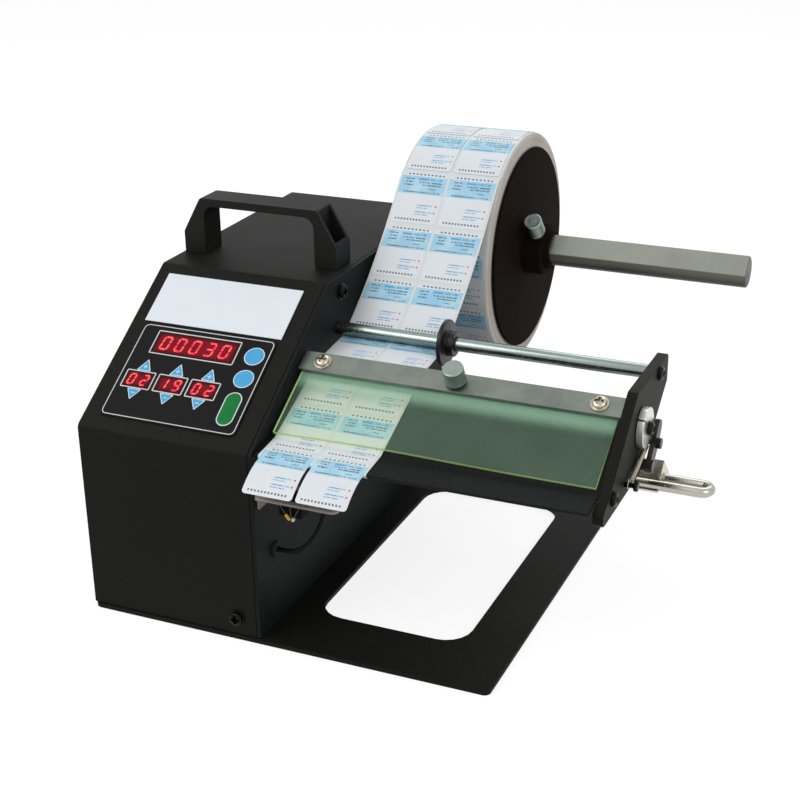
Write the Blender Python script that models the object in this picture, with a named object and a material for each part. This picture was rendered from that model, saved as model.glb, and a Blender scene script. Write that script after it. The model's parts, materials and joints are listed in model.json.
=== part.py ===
# Label dispenser for a desk: a control box with a cantilevered peeling head.
# Units are metres. X runs to the right, Y to the back, Z up.
# The sizes are measured from the front left corner of the base plate's underside.
# At the end everything hangs on an empty, whose place puts the origin on that underside,
# below the side plate and halfway back.
import math

import bmesh
import bpy
import numpy as np
from mathutils import Matrix, Vector, geometry

# Clearances shared by all pieces
GAP = 0.0003
FIT = 0.0002
OVERRUN = 0.004

# Base plate and the opening in it, under the peeling head
BASE_WIDTH = 0.255
BASE_DEPTH = 0.283
BASE_THICK = 0.003
BASE_CORNER = 0.004
PORT_MARGIN = 0.0162
PORT_WIDTH = 0.0938
PORT_FRONT = 0.0399
PORT_DEPTH = 0.185
PORT_CORNER = 0.0165

# Control box: bent cover with its sloping panel
COVER_WIDTH = 0.1111
COVER_SHEET = 0.0012
FRONT_SETBACK = 0.0008
FRONT_HEIGHT = 0.1204
SLOPE_RUN = 0.1038
SLOPE_RISE = 0.067
COVER_DEPTH = 0.2807
COVER_BEND = 0.0045

# Side plate that closes the box and carries every shaft
SIDE_THICK = 0.0024
SIDE_FOOT = 0.016

# Outer plate of the peeling head
PLATE_SPAN = 0.1922
OUTER_THICK = 0.006
OUTER_CORNER = 0.003
OUTER_TIP_SETBACK = 0.0072
OUTER_TIP_DROP = 0.0036
OUTER_BOTTOM_DROP = 0.0108
OUTER_HEEL = 0.0715
OUTER_HEEL_RUN = 0.008
OUTER_BACK = 0.1306
OUTER_BACK_DROP = 0.0165
OUTER_TOP_RISE = 0.0414
OUTER_TOP_FRONT = 0.0668
OUTER_NOSE_TOP = 0.0192
OUTER_NOSE_RISE = 0.0025

# Paper: the web of labels on its liner
WEB_MARGIN = 0.0034
WEB_WIDTH = 0.0655
PAPER = 0.0004
WEB_SAG = 0.0055
LABEL_WIDTH = 0.0304
LABEL_EDGE = 0.0014
LABEL_OUT = 0.0243
LABEL_DROOP = 0.0092
LABEL_CORNER = 0.002
LOOP_RADIUS = 0.01

# Peel plate, measured from its nose
PEEL_SHEET = 0.002
TABLE_FLAT = 0.0198
TABLE_FLAT_RISE = 0.0021
TABLE_RUN = 0.039
TABLE_RISE = 0.0167
TABLE_SKIRT = 0.009
TIE_RADIUS = 0.003
TIE_BEHIND_BEND = 0.003

# Rollers, measured from the nose of the peel plate
DRIVE_BACK = 0.0748
DRIVE_RISE = 0.0185
DRIVE_RADIUS = 0.009
DRIVE_SHAFT = 0.004
NIP_DEGREES = 42.5
NIP_SPACE = 0.001
PINCH_RADIUS = 0.0065
PINCH_AXLE = 0.0025
PIVOT_FORWARD = 0.001
PIVOT_DROP = 0.0219
PIVOT_SHAFT = 0.003
SLEEVE_END = 0.0017
ARM_THICK = 0.003
ARM_WIDTH = 0.009

# Guide rod and its sliding collar
ROD_BACK = 0.1113
ROD_RISE = 0.0361
ROD_RADIUS = 0.004
COLLAR_RIM = 0.014
COLLAR_RIM_THICK = 0.0026
COLLAR_HUB = 0.0075
COLLAR_HUB_LENGTH = 0.005

# Clamp strip over the hold-down plate, placed by its upper front edge
STRIP_BACK = 0.0565
STRIP_RISE = 0.0304
STRIP_WIDTH = 0.0137
STRIP_THICK = 0.0025
STRIP_DEGREES = 27.9
STRIP_SCREW_INSET = 0.0138
HOLD_SHEET = 0.0018
HOLD_END = 0.0022
HOLD_FOOT = 0.021
HOLD_LIFT = 0.0003
RAIL_THICK = 0.003

# Supply spindle and the roll on it
SPINDLE_BACK = 0.1417
SPINDLE_DROP = 0.0136
SPINDLE_RADIUS = 0.01
SPINDLE_LENGTH = 0.217
SPINDLE_FLAT = 0.0071
SPINDLE_FLAT_DEGREES = 48
JOURNAL_RADIUS = 0.005
ROLL_RADIUS = 0.0749
ROLL_SPARE = 0.0009
CORE_WALL = 0.003
CORE_HUB = 0.0195
CORE_HUB_LENGTH = 0.03
FLANGE_RADIUS = 0.0655
INNER_FLANGE_THICK = 0.0024
OUTER_FLANGE_THICK = 0.0018
FLANGE_HUB = 0.017
FLANGE_HUB_LENGTH = 0.0175
FLANGE_HUB_FLAT = 0.0155
FLANGE_HUB_ROOT = 0.0008
FLANGE_RING = 0.013
FLANGE_RING_LENGTH = 0.004
HOUSING_LENGTH = 0.014
HOUSING_HALF = 0.017
HOUSING_TOP = 0.0104

# Rewind shaft under the head, with its clip and the wound liner
REWIND_BACK = 0.0352
REWIND_DROP = 0.0459
REWIND_FLANK = 0.019
REWIND_APEX = 0.0114
REWIND_BELOW = 0.004
REWIND_REACH = 0.012
CLIP_WIRE = 0.003
CLIP_SPACING = 0.0098
CLIP_REACH = 0.0308
CLIP_LEG = 0.205
LINER_WALL = 0.0042
LINER_SLACK = 0.0005

# Drive inside the box
GEARBOX_RADIUS = 0.016
GEARBOX_LENGTH = 0.024
MOTOR_RADIUS = 0.0145
MOTOR_LENGTH = 0.034
MOTOR_SHAFT = 0.003
MOTOR_SHAFT_LENGTH = 0.013
BRACKET_SHEET = 0.002
BRACKET_REACH = 0.033
BRACKET_HALF = 0.0175
BRACKET_TALL = 0.024
BRACKET_RISE = 0.008
COUPLING_RADIUS = 0.0075
PULLEY_RADIUS = 0.009
PULLEY_RIM = 0.0015
REWIND_PULLEY_RADIUS = 0.012
BELT_WIDTH = 0.004
BELT_THICK = 0.0012
BELT_INSET = 0.007
BELT_CLEAR = 0.0015
RIM_WIDTH = 0.0015

# Release lever, its spring and the collar on the outer plate
LEVER_THICK = 0.0027
LEVER_WIDTH = 0.008
LEVER_BACK = 0.0155
LEVER_RISE = 0.0173
LUG_WIDTH = 0.0066
LUG_BACK = 0.0115
LUG_RISE = 0.009
BOSS_RADIUS = 0.0035
POST_RADIUS = 0.0014
POST_HEAD = 0.003
POST_HEAD_THICK = 0.0022
ANCHOR_FORWARD = 0.026
ANCHOR_DROP = 0.0003
ANCHOR_REACH = 0.005
SPRING_WIRE = 0.0003
SPRING_COIL = 0.0013
SPRING_PITCH = 0.00116
HUB_COLLAR_RADIUS = 0.0115
HUB_COLLAR_THICK = 0.004
HUB_COLLAR_SLIT = 0.0008
HUB_COLLAR_SLIT_DEGREES = 42
PIVOT_HEAD = 0.0036
PIVOT_HEAD_THICK = 0.001
COLLAR_SCREW_HEAD = 0.004
COLLAR_SCREW_THICK = 0.003

# Screws that show
SCREW_HEAD = 0.0042
SCREW_HEAD_THICK = 0.0026
SCREW_SHANK = 0.002
WASHER_RADIUS = 0.0052
WASHER_THICK = 0.0008
THUMB_RADIUS = 0.0061
THUMB_HEIGHT = 0.0103
THUMB_STEM = 0.0016
THUMB_SHANK = 0.0025
KNOB_RADIUS = 0.006
KNOB_HEIGHT = 0.012
KNOB_NECK = 0.0045
KNOB_SHARE = 0.709
COVER_SCREW_INSET = 0.0123
COVER_SCREW_HEIGHT = 0.014
SIDE_SCREW_BACK = 0.0156
SIDE_SCREW_DROP = 0.0095

# Carrying handle on top
HANDLE_LENGTH = 0.1051
HANDLE_DEEP = 0.02
HANDLE_HEIGHT = 0.0359
HANDLE_BACK = 0.0234
HANDLE_INSET = 0.0022
HANDLE_LEG = 0.0146
HANDLE_GRIP = 0.0049
HANDLE_SHOULDER = 0.0124
HANDLE_FOOT = 0.0138
HANDLE_FILLET = 0.007
HANDLE_ROUND = 0.0022
HANDLE_POCKET_WALL = 0.0026
HANDLE_POCKET_LIP = 0.0014
HANDLE_POCKET_FLOOR = 0.007

# Panel pieces, measured on the slope from the cover's lower bend
PLATE_LEFT = 0.0085
PLATE_WIDE = 0.0921
PLATE_LOW = 0.0788
PLATE_TALL = 0.0366
SKIN = 0.0006
PAD_LEFT = 0.0101
PAD_WIDE = 0.0892
PAD_LOW = 0.0095
PAD_TALL = 0.0676
PAD_CORNER = 0.003
COUNT_LEFT = 0.0226
COUNT_WIDE = 0.0546
COUNT_LOW = 0.0568
COUNT_TALL = 0.0153
SMALL_LEFT = 0.0152
SMALL_PITCH = 0.0216
SMALL_WIDE = 0.0179
SMALL_LOW = 0.0311
SMALL_TALL = 0.0109
DISPLAY_DEEP = 0.0065
BOARD_THICK = 0.0016
BOARD_MARGIN = 0.003

# Boards and the power entry in the box
CONTROL_LEFT = 0.016
CONTROL_WIDE = 0.066
CONTROL_FRONT = 0.115
CONTROL_DEEP = 0.11
STUD_RADIUS = 0.003
STUD_HEIGHT = 0.008
STUD_INSET = 0.006
BLOCK_WIDE = 0.04
BLOCK_DEEP = 0.046
BLOCK_TALL = 0.036
ENTRY_LEFT = 0.034
ENTRY_WIDE = 0.0275
ENTRY_LOW = 0.024
ENTRY_TALL = 0.047
ENTRY_DEEP = 0.026
ENTRY_RIM = 0.0035
ENTRY_RIM_THICK = 0.0025
SOCKET_WIDE = 0.0225
SOCKET_TALL = 0.0155
SOCKET_DEEP = 0.016
SOCKET_RISE = 0.0045
ROCKER_WIDE = 0.0195
ROCKER_TALL = 0.0125
ROCKER_DEEP = 0.009
ROCKER_DROP = 0.005
ROCKER_DEGREES = 10

# Label sensor under the peel edge
SHELF_DROP = 0.0204
SHELF_THICK = 0.0015
SHELF_LENGTH = 0.057
SHELF_FRONT = 0.0112
SHELF_DEEP = 0.023
SHELF_CORNER = 0.004
SHELF_LEAD = 0.006
SHELF_TAPER = 0.008
SHELF_TAB = 0.014
SLOT_START = 0.0095
SLOT_LENGTH = 0.041
SLOT_FRONT = 0.005
SLOT_WIDE = 0.0077
SENSOR_START = 0.019
SENSOR_LENGTH = 0.014
SENSOR_WIDE = 0.011
SENSOR_TALL = 0.008
SENSOR_NECK = 0.006
SENSOR_LENS = 0.001
SLOT_WALL = 0.001
LEAD_RADIUS = 0.0014
LEAD_STRAIGHT = 0.008
LEAD_SWEEP = 0.055
LEAD_SIDE = 0.024
LEAD_STEPS = 24
GROMMET_BACK = 0.0234
GROMMET_HEIGHT = 0.0513
GROMMET_RADIUS = 0.005
GROMMET_THICK = 0.0016

# Facets of round shapes, and of arcs
FINE = 60
ROUND = 24
SMALL_ROUND = 12
ARC_STEPS = 5

# Places worked out from the sizes above
SIDE_LOW = COVER_WIDTH + GAP
SIDE_FACE = SIDE_LOW + SIDE_THICK
HEAD_END = SIDE_FACE + PLATE_SPAN
OUTER_FACE = HEAD_END + OUTER_THICK
FLOOR = BASE_THICK + GAP
TOP_HEIGHT = FRONT_HEIGHT + SLOPE_RISE
SLOPE_ANGLE = math.atan2(SLOPE_RISE, SLOPE_RUN)
SLOPE_TOP = FRONT_SETBACK + SLOPE_RUN
COVER_BACK = FRONT_SETBACK + COVER_DEPTH
WEB_LEFT = SIDE_FACE + WEB_MARGIN
WEB_RIGHT = WEB_LEFT + WEB_WIDTH
NOSE = Vector((FRONT_SETBACK + COVER_SHEET * 2, FRONT_HEIGHT))
STRIP_ANGLE = math.radians(STRIP_DEGREES)
FLAT_ANGLE = math.radians(SPINDLE_FLAT_DEGREES)
NIP_ANGLE = math.radians(NIP_DEGREES)


def from_nose(back, rise):
    """A point of the side view, measured from the peel plate's nose."""
    return Vector((NOSE.x + back, NOSE.y + rise))


DRIVE = from_nose(DRIVE_BACK, DRIVE_RISE)
ROD = from_nose(ROD_BACK, ROD_RISE)
PIVOT = Vector((DRIVE.x - PIVOT_FORWARD, DRIVE.y - PIVOT_DROP))
REWIND = Vector((DRIVE.x + REWIND_BACK, DRIVE.y - REWIND_DROP))
SPINDLE = Vector((ROD.x + SPINDLE_BACK, TOP_HEIGHT - SPINDLE_DROP))
PINCH_REACH = DRIVE_RADIUS + PINCH_RADIUS + NIP_SPACE
PINCH = DRIVE + PINCH_REACH * Vector((math.cos(NIP_ANGLE), -math.sin(NIP_ANGLE)))
TABLE_BEND = from_nose(TABLE_FLAT, TABLE_FLAT_RISE)
TABLE_REAR = TABLE_BEND + Vector((TABLE_RUN, TABLE_RISE))
STRIP_EDGE = from_nose(STRIP_BACK, STRIP_RISE)
ALONG_STRIP = Vector((math.cos(STRIP_ANGLE), math.sin(STRIP_ANGLE)))
OFF_STRIP = Vector((-math.sin(STRIP_ANGLE), math.cos(STRIP_ANGLE)))
OFF_FLAT = Vector((-math.cos(FLAT_ANGLE), math.sin(FLAT_ANGLE)))
ROLL_LEFT = SIDE_FACE + GAP + INNER_FLANGE_THICK + GAP
ROLL_RIGHT = WEB_RIGHT + ROLL_SPARE
LEVER_TIP = PIVOT + Vector((LEVER_BACK, LEVER_RISE))
UPPER_POST = PIVOT + Vector((LUG_BACK, LUG_RISE))
LOWER_POST = PIVOT - Vector((ANCHOR_FORWARD, ANCHOR_DROP))
LEVER_FACE = OUTER_FACE + HUB_COLLAR_THICK + 2 * GAP
SPRING_PLANE = OUTER_FACE + GAP + SPRING_COIL + SPRING_WIRE


def flat_normal(first, second):
    """Unit vector to the left of the line from first to second."""
    run = (second - first).normalized()
    return Vector((-run.y, run.x))


TABLE_SLOPE = (TABLE_REAR - TABLE_BEND).normalized()
TIE = (TABLE_BEND + TIE_BEHIND_BEND * TABLE_SLOPE
       - (PEEL_SHEET + GAP + TIE_RADIUS) * flat_normal(TABLE_BEND, TABLE_REAR))


# Materials

def material(name, colour, roughness, metallic=0.0):
    """A Principled material with one colour."""
    found = bpy.data.materials.get(name)
    if found:
        return found
    made = bpy.data.materials.new(name)
    made.use_nodes = True
    shader = made.node_tree.nodes["Principled BSDF"]
    shader.inputs["Base Color"].default_value = (*colour, 1.0)
    shader.inputs["Roughness"].default_value = roughness
    shader.inputs["Metallic"].default_value = metallic
    return made


POWDER = material("black_powder_coat", (0.035, 0.035, 0.036), 0.55)
PLASTIC = material("black_plastic", (0.03, 0.03, 0.03), 0.45)
STEEL = material("steel", (0.55, 0.55, 0.53), 0.3, 1.0)
BRIGHT = material("bright_plating", (0.75, 0.74, 0.7), 0.2, 1.0)
BLACK_STEEL = material("black_steel", (0.03, 0.03, 0.03), 0.35, 0.8)
ALUMINIUM = material("aluminium", (0.7, 0.7, 0.68), 0.35, 1.0)
RUBBER = material("rubber", (0.05, 0.045, 0.04), 0.8)
ACRYLIC = material("green_acrylic", (0.55, 0.85, 0.45), 0.1)
PAPER_WHITE = material("paper", (0.85, 0.86, 0.87), 0.6)
CARD = material("card", (0.45, 0.33, 0.2), 0.85)
PANEL_WHITE = material("panel_white", (0.75, 0.82, 0.9), 0.4)
PANEL_BLACK = material("panel_black", (0.02, 0.02, 0.022), 0.3)
DISPLAY_RED = material("display_red", (0.35, 0.01, 0.01), 0.2)
BOARD_GREEN = material("board_green", (0.02, 0.16, 0.07), 0.5)
GREY_PAINT = material("grey_paint", (0.42, 0.38, 0.35), 0.5)


# Outlines in the plane, as lists of points

def arc(centre, radius, start, end, steps):
    """Points on a circle from angle start to angle end, both in radians."""
    return [
        Vector((centre[0] + radius * math.cos(a), centre[1] + radius * math.sin(a)))
        for a in np.linspace(start, end, steps + 1)
    ]


def circle(centre, radius, sides):
    """A closed circle of points."""
    return arc(centre, radius, 0, 2 * math.pi, sides)[:-1]


def rounded(points, radii, steps=ARC_STEPS):
    """The closed polygon with each corner turned into an arc of its own radius."""
    out = []
    count = len(points)
    for i, corner in enumerate(points):
        radius = radii[i]
        corner = Vector(corner)
        if radius <= 0:
            out.append(corner)
            continue
        before = (Vector(points[i - 1]) - corner).normalized()
        after = (Vector(points[(i + 1) % count]) - corner).normalized()
        half = before.angle(after) / 2
        centre = corner + (before + after).normalized() * radius / math.sin(half)
        first = corner + before * radius / math.tan(half) - centre
        last = corner + after * radius / math.tan(half) - centre
        swing = math.atan2(first.x * last.y - first.y * last.x, first.dot(last))
        start = math.atan2(first.y, first.x)
        out += arc(centre, radius, start, start + swing, steps)
    return out


def rectangle(left, low, width, height, radius=0.0):
    """A rectangle with equal round corners."""
    points = [(left, low), (left + width, low), (left + width, low + height), (left, low + height)]
    return rounded(points, [radius] * len(points))


def offset_line(points, distance):
    """The open line moved to its left by distance, with mitred corners."""
    out = []
    for i, point in enumerate(points):
        normals = []
        if i > 0:
            normals.append(flat_normal(points[i - 1], point))
        if i + 1 < len(points):
            normals.append(flat_normal(point, points[i + 1]))
        middle = sum(normals, Vector((0, 0))).normalized()
        out.append(point + middle * distance / middle.dot(normals[0]))
    return out


def ribbon(points, thickness):
    """Closed outline of a sheet whose right side is the open line of points."""
    return list(points) + offset_line(points, thickness)[::-1]


def bent(points, radius):
    """The open line with an arc at each inner point."""
    radii = [0.0] + [radius] * (len(points) - 2) + [0.0]
    return rounded(points, radii)


def capsule(first, second, width):
    """A bar with two round ends."""
    run = math.atan2(second.y - first.y, second.x - first.x)
    quarter = math.pi / 2
    return (arc(first, width / 2, run + quarter, run + 3 * quarter, 2 * ARC_STEPS)
            + arc(second, width / 2, run - quarter, run + quarter, 2 * ARC_STEPS))


def belt_loop(first, radius_first, second, radius_second, sides):
    """Outline of a belt that wraps two circles, from their outer tangents."""
    run = math.atan2(second.y - first.y, second.x - first.x)
    distance = (second - first).length
    lean = math.acos((radius_first - radius_second) / distance)
    wrap_first = arc(first, radius_first, run + lean, run + 2 * math.pi - lean, sides)
    wrap_second = arc(second, radius_second, run - lean, run + lean, sides)
    return wrap_first + wrap_second


# Solids

AXES = {
    "x": Matrix(((0, 0, 1), (1, 0, 0), (0, 1, 0))).to_4x4(),
    "y": Matrix(((1, 0, 0), (0, 0, -1), (0, 1, 0))).to_4x4(),
    "z": Matrix.Identity(4),
}


def add_object(name, bm, finish, at, smooth):
    """Turn a bmesh into an object of the scene."""
    bmesh.ops.recalc_face_normals(bm, faces=bm.faces)
    mesh = bpy.data.meshes.new(name)
    bm.to_mesh(mesh)
    bm.free()
    mesh.materials.append(finish)
    if smooth:
        mesh.shade_smooth()
        mesh.set_sharp_from_angle(angle=math.radians(32))
    made = bpy.data.objects.new(name, mesh)
    made.location = at
    bpy.context.scene.collection.objects.link(made)
    return made


def slab(name, outline, thickness, finish, at=(0, 0, 0), axis="x", holes=(), smooth=False):
    """An outline with holes, extruded along an axis.

    The outline is in (Y, Z) for axis x, in (X, Z) for axis y, where it grows to the front,
    and in (X, Y) for axis z.
    """
    bm = bmesh.new()
    edges = []
    for loop in (outline, *holes):
        verts = [bm.verts.new((p[0], p[1], 0)) for p in loop]
        edges += [bm.edges.new((verts[i - 1], verts[i])) for i in range(len(verts))]
    bmesh.ops.triangle_fill(bm, use_beauty=True, use_dissolve=False, edges=edges)
    grown = bmesh.ops.extrude_face_region(bm, geom=bm.faces[:])["geom"]
    raised = [v for v in grown if isinstance(v, bmesh.types.BMVert)]
    bmesh.ops.translate(bm, verts=raised, vec=(0, 0, thickness))
    bmesh.ops.transform(bm, matrix=AXES[axis], verts=bm.verts[:])
    return add_object(name, bm, finish, at, smooth)


def turned(name, profile, finish, at, sides=ROUND, axis="x"):
    """A profile of (distance along the axis, radius) spun round the axis.

    A profile that starts and ends at radius zero is solid, any other is a closed ring.
    """
    bm = bmesh.new()
    verts = [bm.verts.new((r, 0, t)) for t, r in profile]
    edges = [bm.edges.new(pair) for pair in zip(verts, verts[1:])]
    if profile[0][1] > 0:
        edges.append(bm.edges.new((verts[-1], verts[0])))
    bmesh.ops.spin(bm, geom=verts + edges, cent=(0, 0, 0), axis=(0, 0, 1),
                   angle=2 * math.pi, steps=sides, use_merge=True)
    bmesh.ops.remove_doubles(bm, verts=bm.verts, dist=GAP / 100)
    bmesh.ops.transform(bm, matrix=AXES[axis], verts=bm.verts[:])
    return add_object(name, bm, finish, at, True)


def rod(name, length, radius, finish, at, sides=ROUND, edge=0.0, axis="x"):
    """A round bar along an axis, with an optional chamfer at both ends."""
    if edge > 0:
        profile = [(0, 0), (0, radius - edge), (edge, radius),
                   (length - edge, radius), (length, radius - edge), (length, 0)]
    else:
        profile = [(0, 0), (0, radius), (length, radius), (length, 0)]
    return turned(name, profile, finish, at, sides, axis)


def ring(name, length, bore, radius, finish, at, sides=ROUND, axis="x"):
    """A tube along an axis."""
    profile = [(0, bore), (0, radius), (length, radius), (length, bore)]
    return turned(name, profile, finish, at, sides, axis)


def box(name, size, finish, at):
    """A block whose lowest corner is at the given place."""
    outline = rectangle(0, 0, size[0], size[1])
    return slab(name, outline, size[2], finish, at, "z")


def wire(name, points, radius, finish, at=(0, 0, 0), resolution=2):
    """A round wire along points, with closed ends, as a curve."""
    data = bpy.data.curves.new(name, "CURVE")
    data.dimensions = "3D"
    data.bevel_depth = radius
    data.bevel_resolution = resolution
    data.use_fill_caps = True
    spline = data.splines.new("POLY")
    spline.points.add(len(points) - 1)
    for target, point in zip(spline.points, points):
        target.co = (*point, 1)
    data.materials.append(finish)
    made = bpy.data.objects.new(name, data)
    made.location = at
    bpy.context.scene.collection.objects.link(made)
    return made


def combine(target, tool, operation):
    """Apply a Boolean of the tool to the target, and remove the tool."""
    step = target.modifiers.new(operation, "BOOLEAN")
    step.operation = operation
    step.solver = "EXACT"
    step.object = tool
    bpy.context.view_layer.update()
    graph = bpy.context.evaluated_depsgraph_get()
    result = bpy.data.meshes.new_from_object(target.evaluated_get(graph))
    target.modifiers.remove(step)
    result.name = target.name
    target.data = result
    bpy.data.objects.remove(tool)
    return target


def cut(target, tool):
    """Take the tool's volume out of the target."""
    return combine(target, tool, "DIFFERENCE")


def join(target, tool):
    """Make the target and the tool one solid."""
    return combine(target, tool, "UNION")


def on_slope(piece, panel):
    """Carry a piece on the panel's frame."""
    piece.parent = panel
    return piece


# Base and box

def base_plate():
    outline = rectangle(0, 0, BASE_WIDTH, BASE_DEPTH, BASE_CORNER)
    port = rectangle(SIDE_FACE + PORT_MARGIN, PORT_FRONT, PORT_WIDTH, PORT_DEPTH, PORT_CORNER)
    slab("base_plate", outline, BASE_THICK, POWDER, axis="z", holes=[port], smooth=True)


def box_profile(inset, low):
    """Side outline of the box, drawn in from the outer surface by inset."""
    line = [
        Vector((FRONT_SETBACK, FLOOR)),
        Vector((FRONT_SETBACK, FRONT_HEIGHT)),
        Vector((SLOPE_TOP, TOP_HEIGHT)),
        Vector((COVER_BACK, TOP_HEIGHT)),
        Vector((COVER_BACK, FLOOR)),
    ]
    line = offset_line(line, -inset) if inset else line
    line[0].y = low
    line[-1].y = low
    bend = COVER_BEND - inset
    return rounded(line, [0, bend, bend, bend, 0])


def panel_frame():
    """Empty on the cover's lower bend, whose Y runs up the slope and Z stands off it."""
    frame = bpy.data.objects.new("panel_frame", None)
    frame.location = (0, FRONT_SETBACK, FRONT_HEIGHT)
    frame.rotation_euler = (SLOPE_ANGLE, 0, 0)
    bpy.context.scene.collection.objects.link(frame)
    return frame


def display_windows():
    """Left, low, width and height of each display, up the slope."""
    windows = {"count_display": (COUNT_LEFT, COUNT_LOW, COUNT_WIDE, COUNT_TALL)}
    for i, place in enumerate(("left", "middle", "right")):
        left = SMALL_LEFT + i * SMALL_PITCH
        windows["setting_display_" + place] = (left, SMALL_LOW, SMALL_WIDE, SMALL_TALL)
    return windows


def grown(window, margin):
    """A window made larger all round."""
    left, low, width, height = window
    return rectangle(left - margin, low - margin, width + 2 * margin, height + 2 * margin)


def control_cover(panel):
    cover = slab("control_cover", box_profile(0, FLOOR), COVER_WIDTH, POWDER, smooth=True)
    hollow = slab("hollow", box_profile(COVER_SHEET, FLOOR - OVERRUN),
                  COVER_WIDTH - COVER_SHEET + OVERRUN, POWDER, at=(COVER_SHEET, 0, 0))
    cut(cover, hollow)
    for window in display_windows().values():
        hole = slab("hole", grown(window, GAP), COVER_SHEET + 2 * OVERRUN, POWDER,
                    at=(0, 0, -COVER_SHEET - OVERRUN), axis="z")
        cut(cover, on_slope(hole, panel))
    entry = rectangle(ENTRY_LEFT - GAP, ENTRY_LOW - GAP, ENTRY_WIDE + 2 * GAP, ENTRY_TALL + 2 * GAP)
    cut(cover, slab("entry", entry, COVER_SHEET + 2 * OVERRUN, POWDER,
                    at=(0, COVER_BACK + OVERRUN, 0), axis="y"))
    cut(cover, rod("screw_hole", COVER_SHEET + 2 * OVERRUN, SCREW_SHANK + GAP, POWDER,
                   at=(COVER_WIDTH - COVER_SCREW_INSET, FRONT_SETBACK + COVER_SHEET + OVERRUN,
                       COVER_SCREW_HEIGHT), sides=SMALL_ROUND, axis="y"))


def inner_side_plate():
    holes = [
        circle(DRIVE, DRIVE_SHAFT + FIT, ROUND),
        circle(PIVOT, PIVOT_SHAFT + FIT, ROUND),
        circle(REWIND, JOURNAL_RADIUS + FIT, ROUND),
        circle(SPINDLE, JOURNAL_RADIUS + FIT, ROUND),
        circle((GROMMET_BACK, GROMMET_HEIGHT), GROMMET_RADIUS - GROMMET_THICK / 2, SMALL_ROUND),
        circle(side_screw_place(), SCREW_SHANK + GAP, SMALL_ROUND),
    ]
    plate = slab("inner_side_plate", box_profile(0, FLOOR), SIDE_THICK, POWDER,
                 at=(SIDE_LOW, 0, 0), holes=holes, smooth=True)
    front = FRONT_SETBACK + COVER_SHEET + GAP
    foot = box("foot", (SIDE_FOOT + SIDE_THICK / 2, COVER_DEPTH - 2 * (COVER_SHEET + GAP), SIDE_THICK),
               POWDER, at=(SIDE_LOW - SIDE_FOOT, front, FLOOR))
    join(plate, foot)


def side_screw_place():
    """Centre of the screw near the top of the side plate."""
    return Vector((SLOPE_TOP + SIDE_SCREW_BACK, TOP_HEIGHT - SIDE_SCREW_DROP))


def screw(name, at, axis, hold, finish, washer=True):
    """A pan head screw whose head stands out along the axis from a face at the place."""
    base = WASHER_THICK if washer else 0
    crown = SCREW_HEAD_THICK / 2
    profile = [(-hold, 0), (-hold, SCREW_SHANK), (GAP, SCREW_SHANK)]
    if washer:
        profile += [(GAP, WASHER_RADIUS), (GAP + base, WASHER_RADIUS)]
    profile += [
        (GAP + base, SCREW_HEAD),
        (GAP + base + crown, SCREW_HEAD),
        (GAP + base + SCREW_HEAD_THICK, SCREW_HEAD / 2),
        (GAP + base + SCREW_HEAD_THICK, 0),
    ]
    return turned(name, profile, finish, at, SMALL_ROUND, axis)


def box_screws():
    x = COVER_WIDTH - COVER_SCREW_INSET
    screw("cover_screw", (x, FRONT_SETBACK, COVER_SCREW_HEIGHT), "y", COVER_SHEET, BLACK_STEEL)
    place = side_screw_place()
    screw("side_screw", (SIDE_FACE, place.x, place.y), "x", SIDE_THICK, BLACK_STEEL)


def carry_handle():
    """Bridge handle with slanting shoulders; a pocket in each shoulder holds its screw."""
    foot = HANDLE_FOOT
    outer = [
        (0, 0), (HANDLE_LENGTH, 0), (HANDLE_LENGTH, foot),
        (HANDLE_LENGTH - HANDLE_SHOULDER, HANDLE_HEIGHT), (HANDLE_SHOULDER, HANDLE_HEIGHT), (0, foot),
    ]
    inner_width = HANDLE_LENGTH - 2 * HANDLE_LEG
    under = HANDLE_HEIGHT - HANDLE_GRIP
    fillet = HANDLE_FILLET
    arch = rounded([(HANDLE_LEG, -OVERRUN), (HANDLE_LEG + inner_width, -OVERRUN),
                    (HANDLE_LEG + inner_width, under), (HANDLE_LEG, under)], [0, 0, fillet, fillet])
    back = SLOPE_TOP + HANDLE_BACK + HANDLE_DEEP
    base = TOP_HEIGHT + GAP
    outline = rounded(outer, [0, 0, HANDLE_ROUND, HANDLE_ROUND, HANDLE_ROUND, HANDLE_ROUND], 2)
    handle = slab("carry_handle", outline, HANDLE_DEEP, PLASTIC,
                  at=(HANDLE_INSET, back, base), axis="y", smooth=True)
    cut(handle, slab("arch", arch, HANDLE_DEEP + 2 * OVERRUN, PLASTIC,
                     at=(HANDLE_INSET, back + OVERRUN, base), axis="y"))
    wall = HANDLE_POCKET_WALL
    lip = HANDLE_POCKET_LIP
    size = (HANDLE_LEG - wall - lip, HANDLE_DEEP - 2 * wall, HANDLE_HEIGHT)
    for left in (lip, HANDLE_LENGTH - HANDLE_LEG + wall):
        pocket = box("pocket", size, PLASTIC, at=(HANDLE_INSET + left, back - HANDLE_DEEP + wall,
                                                  base + HANDLE_POCKET_FLOOR))
        cut(handle, pocket)
    soften = handle.modifiers.new("soften", "BEVEL")
    soften.width = HANDLE_ROUND / 2
    soften.segments = 1
    soften.limit_method = "ANGLE"
    soften.angle_limit = math.radians(60)


# Panel

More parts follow.
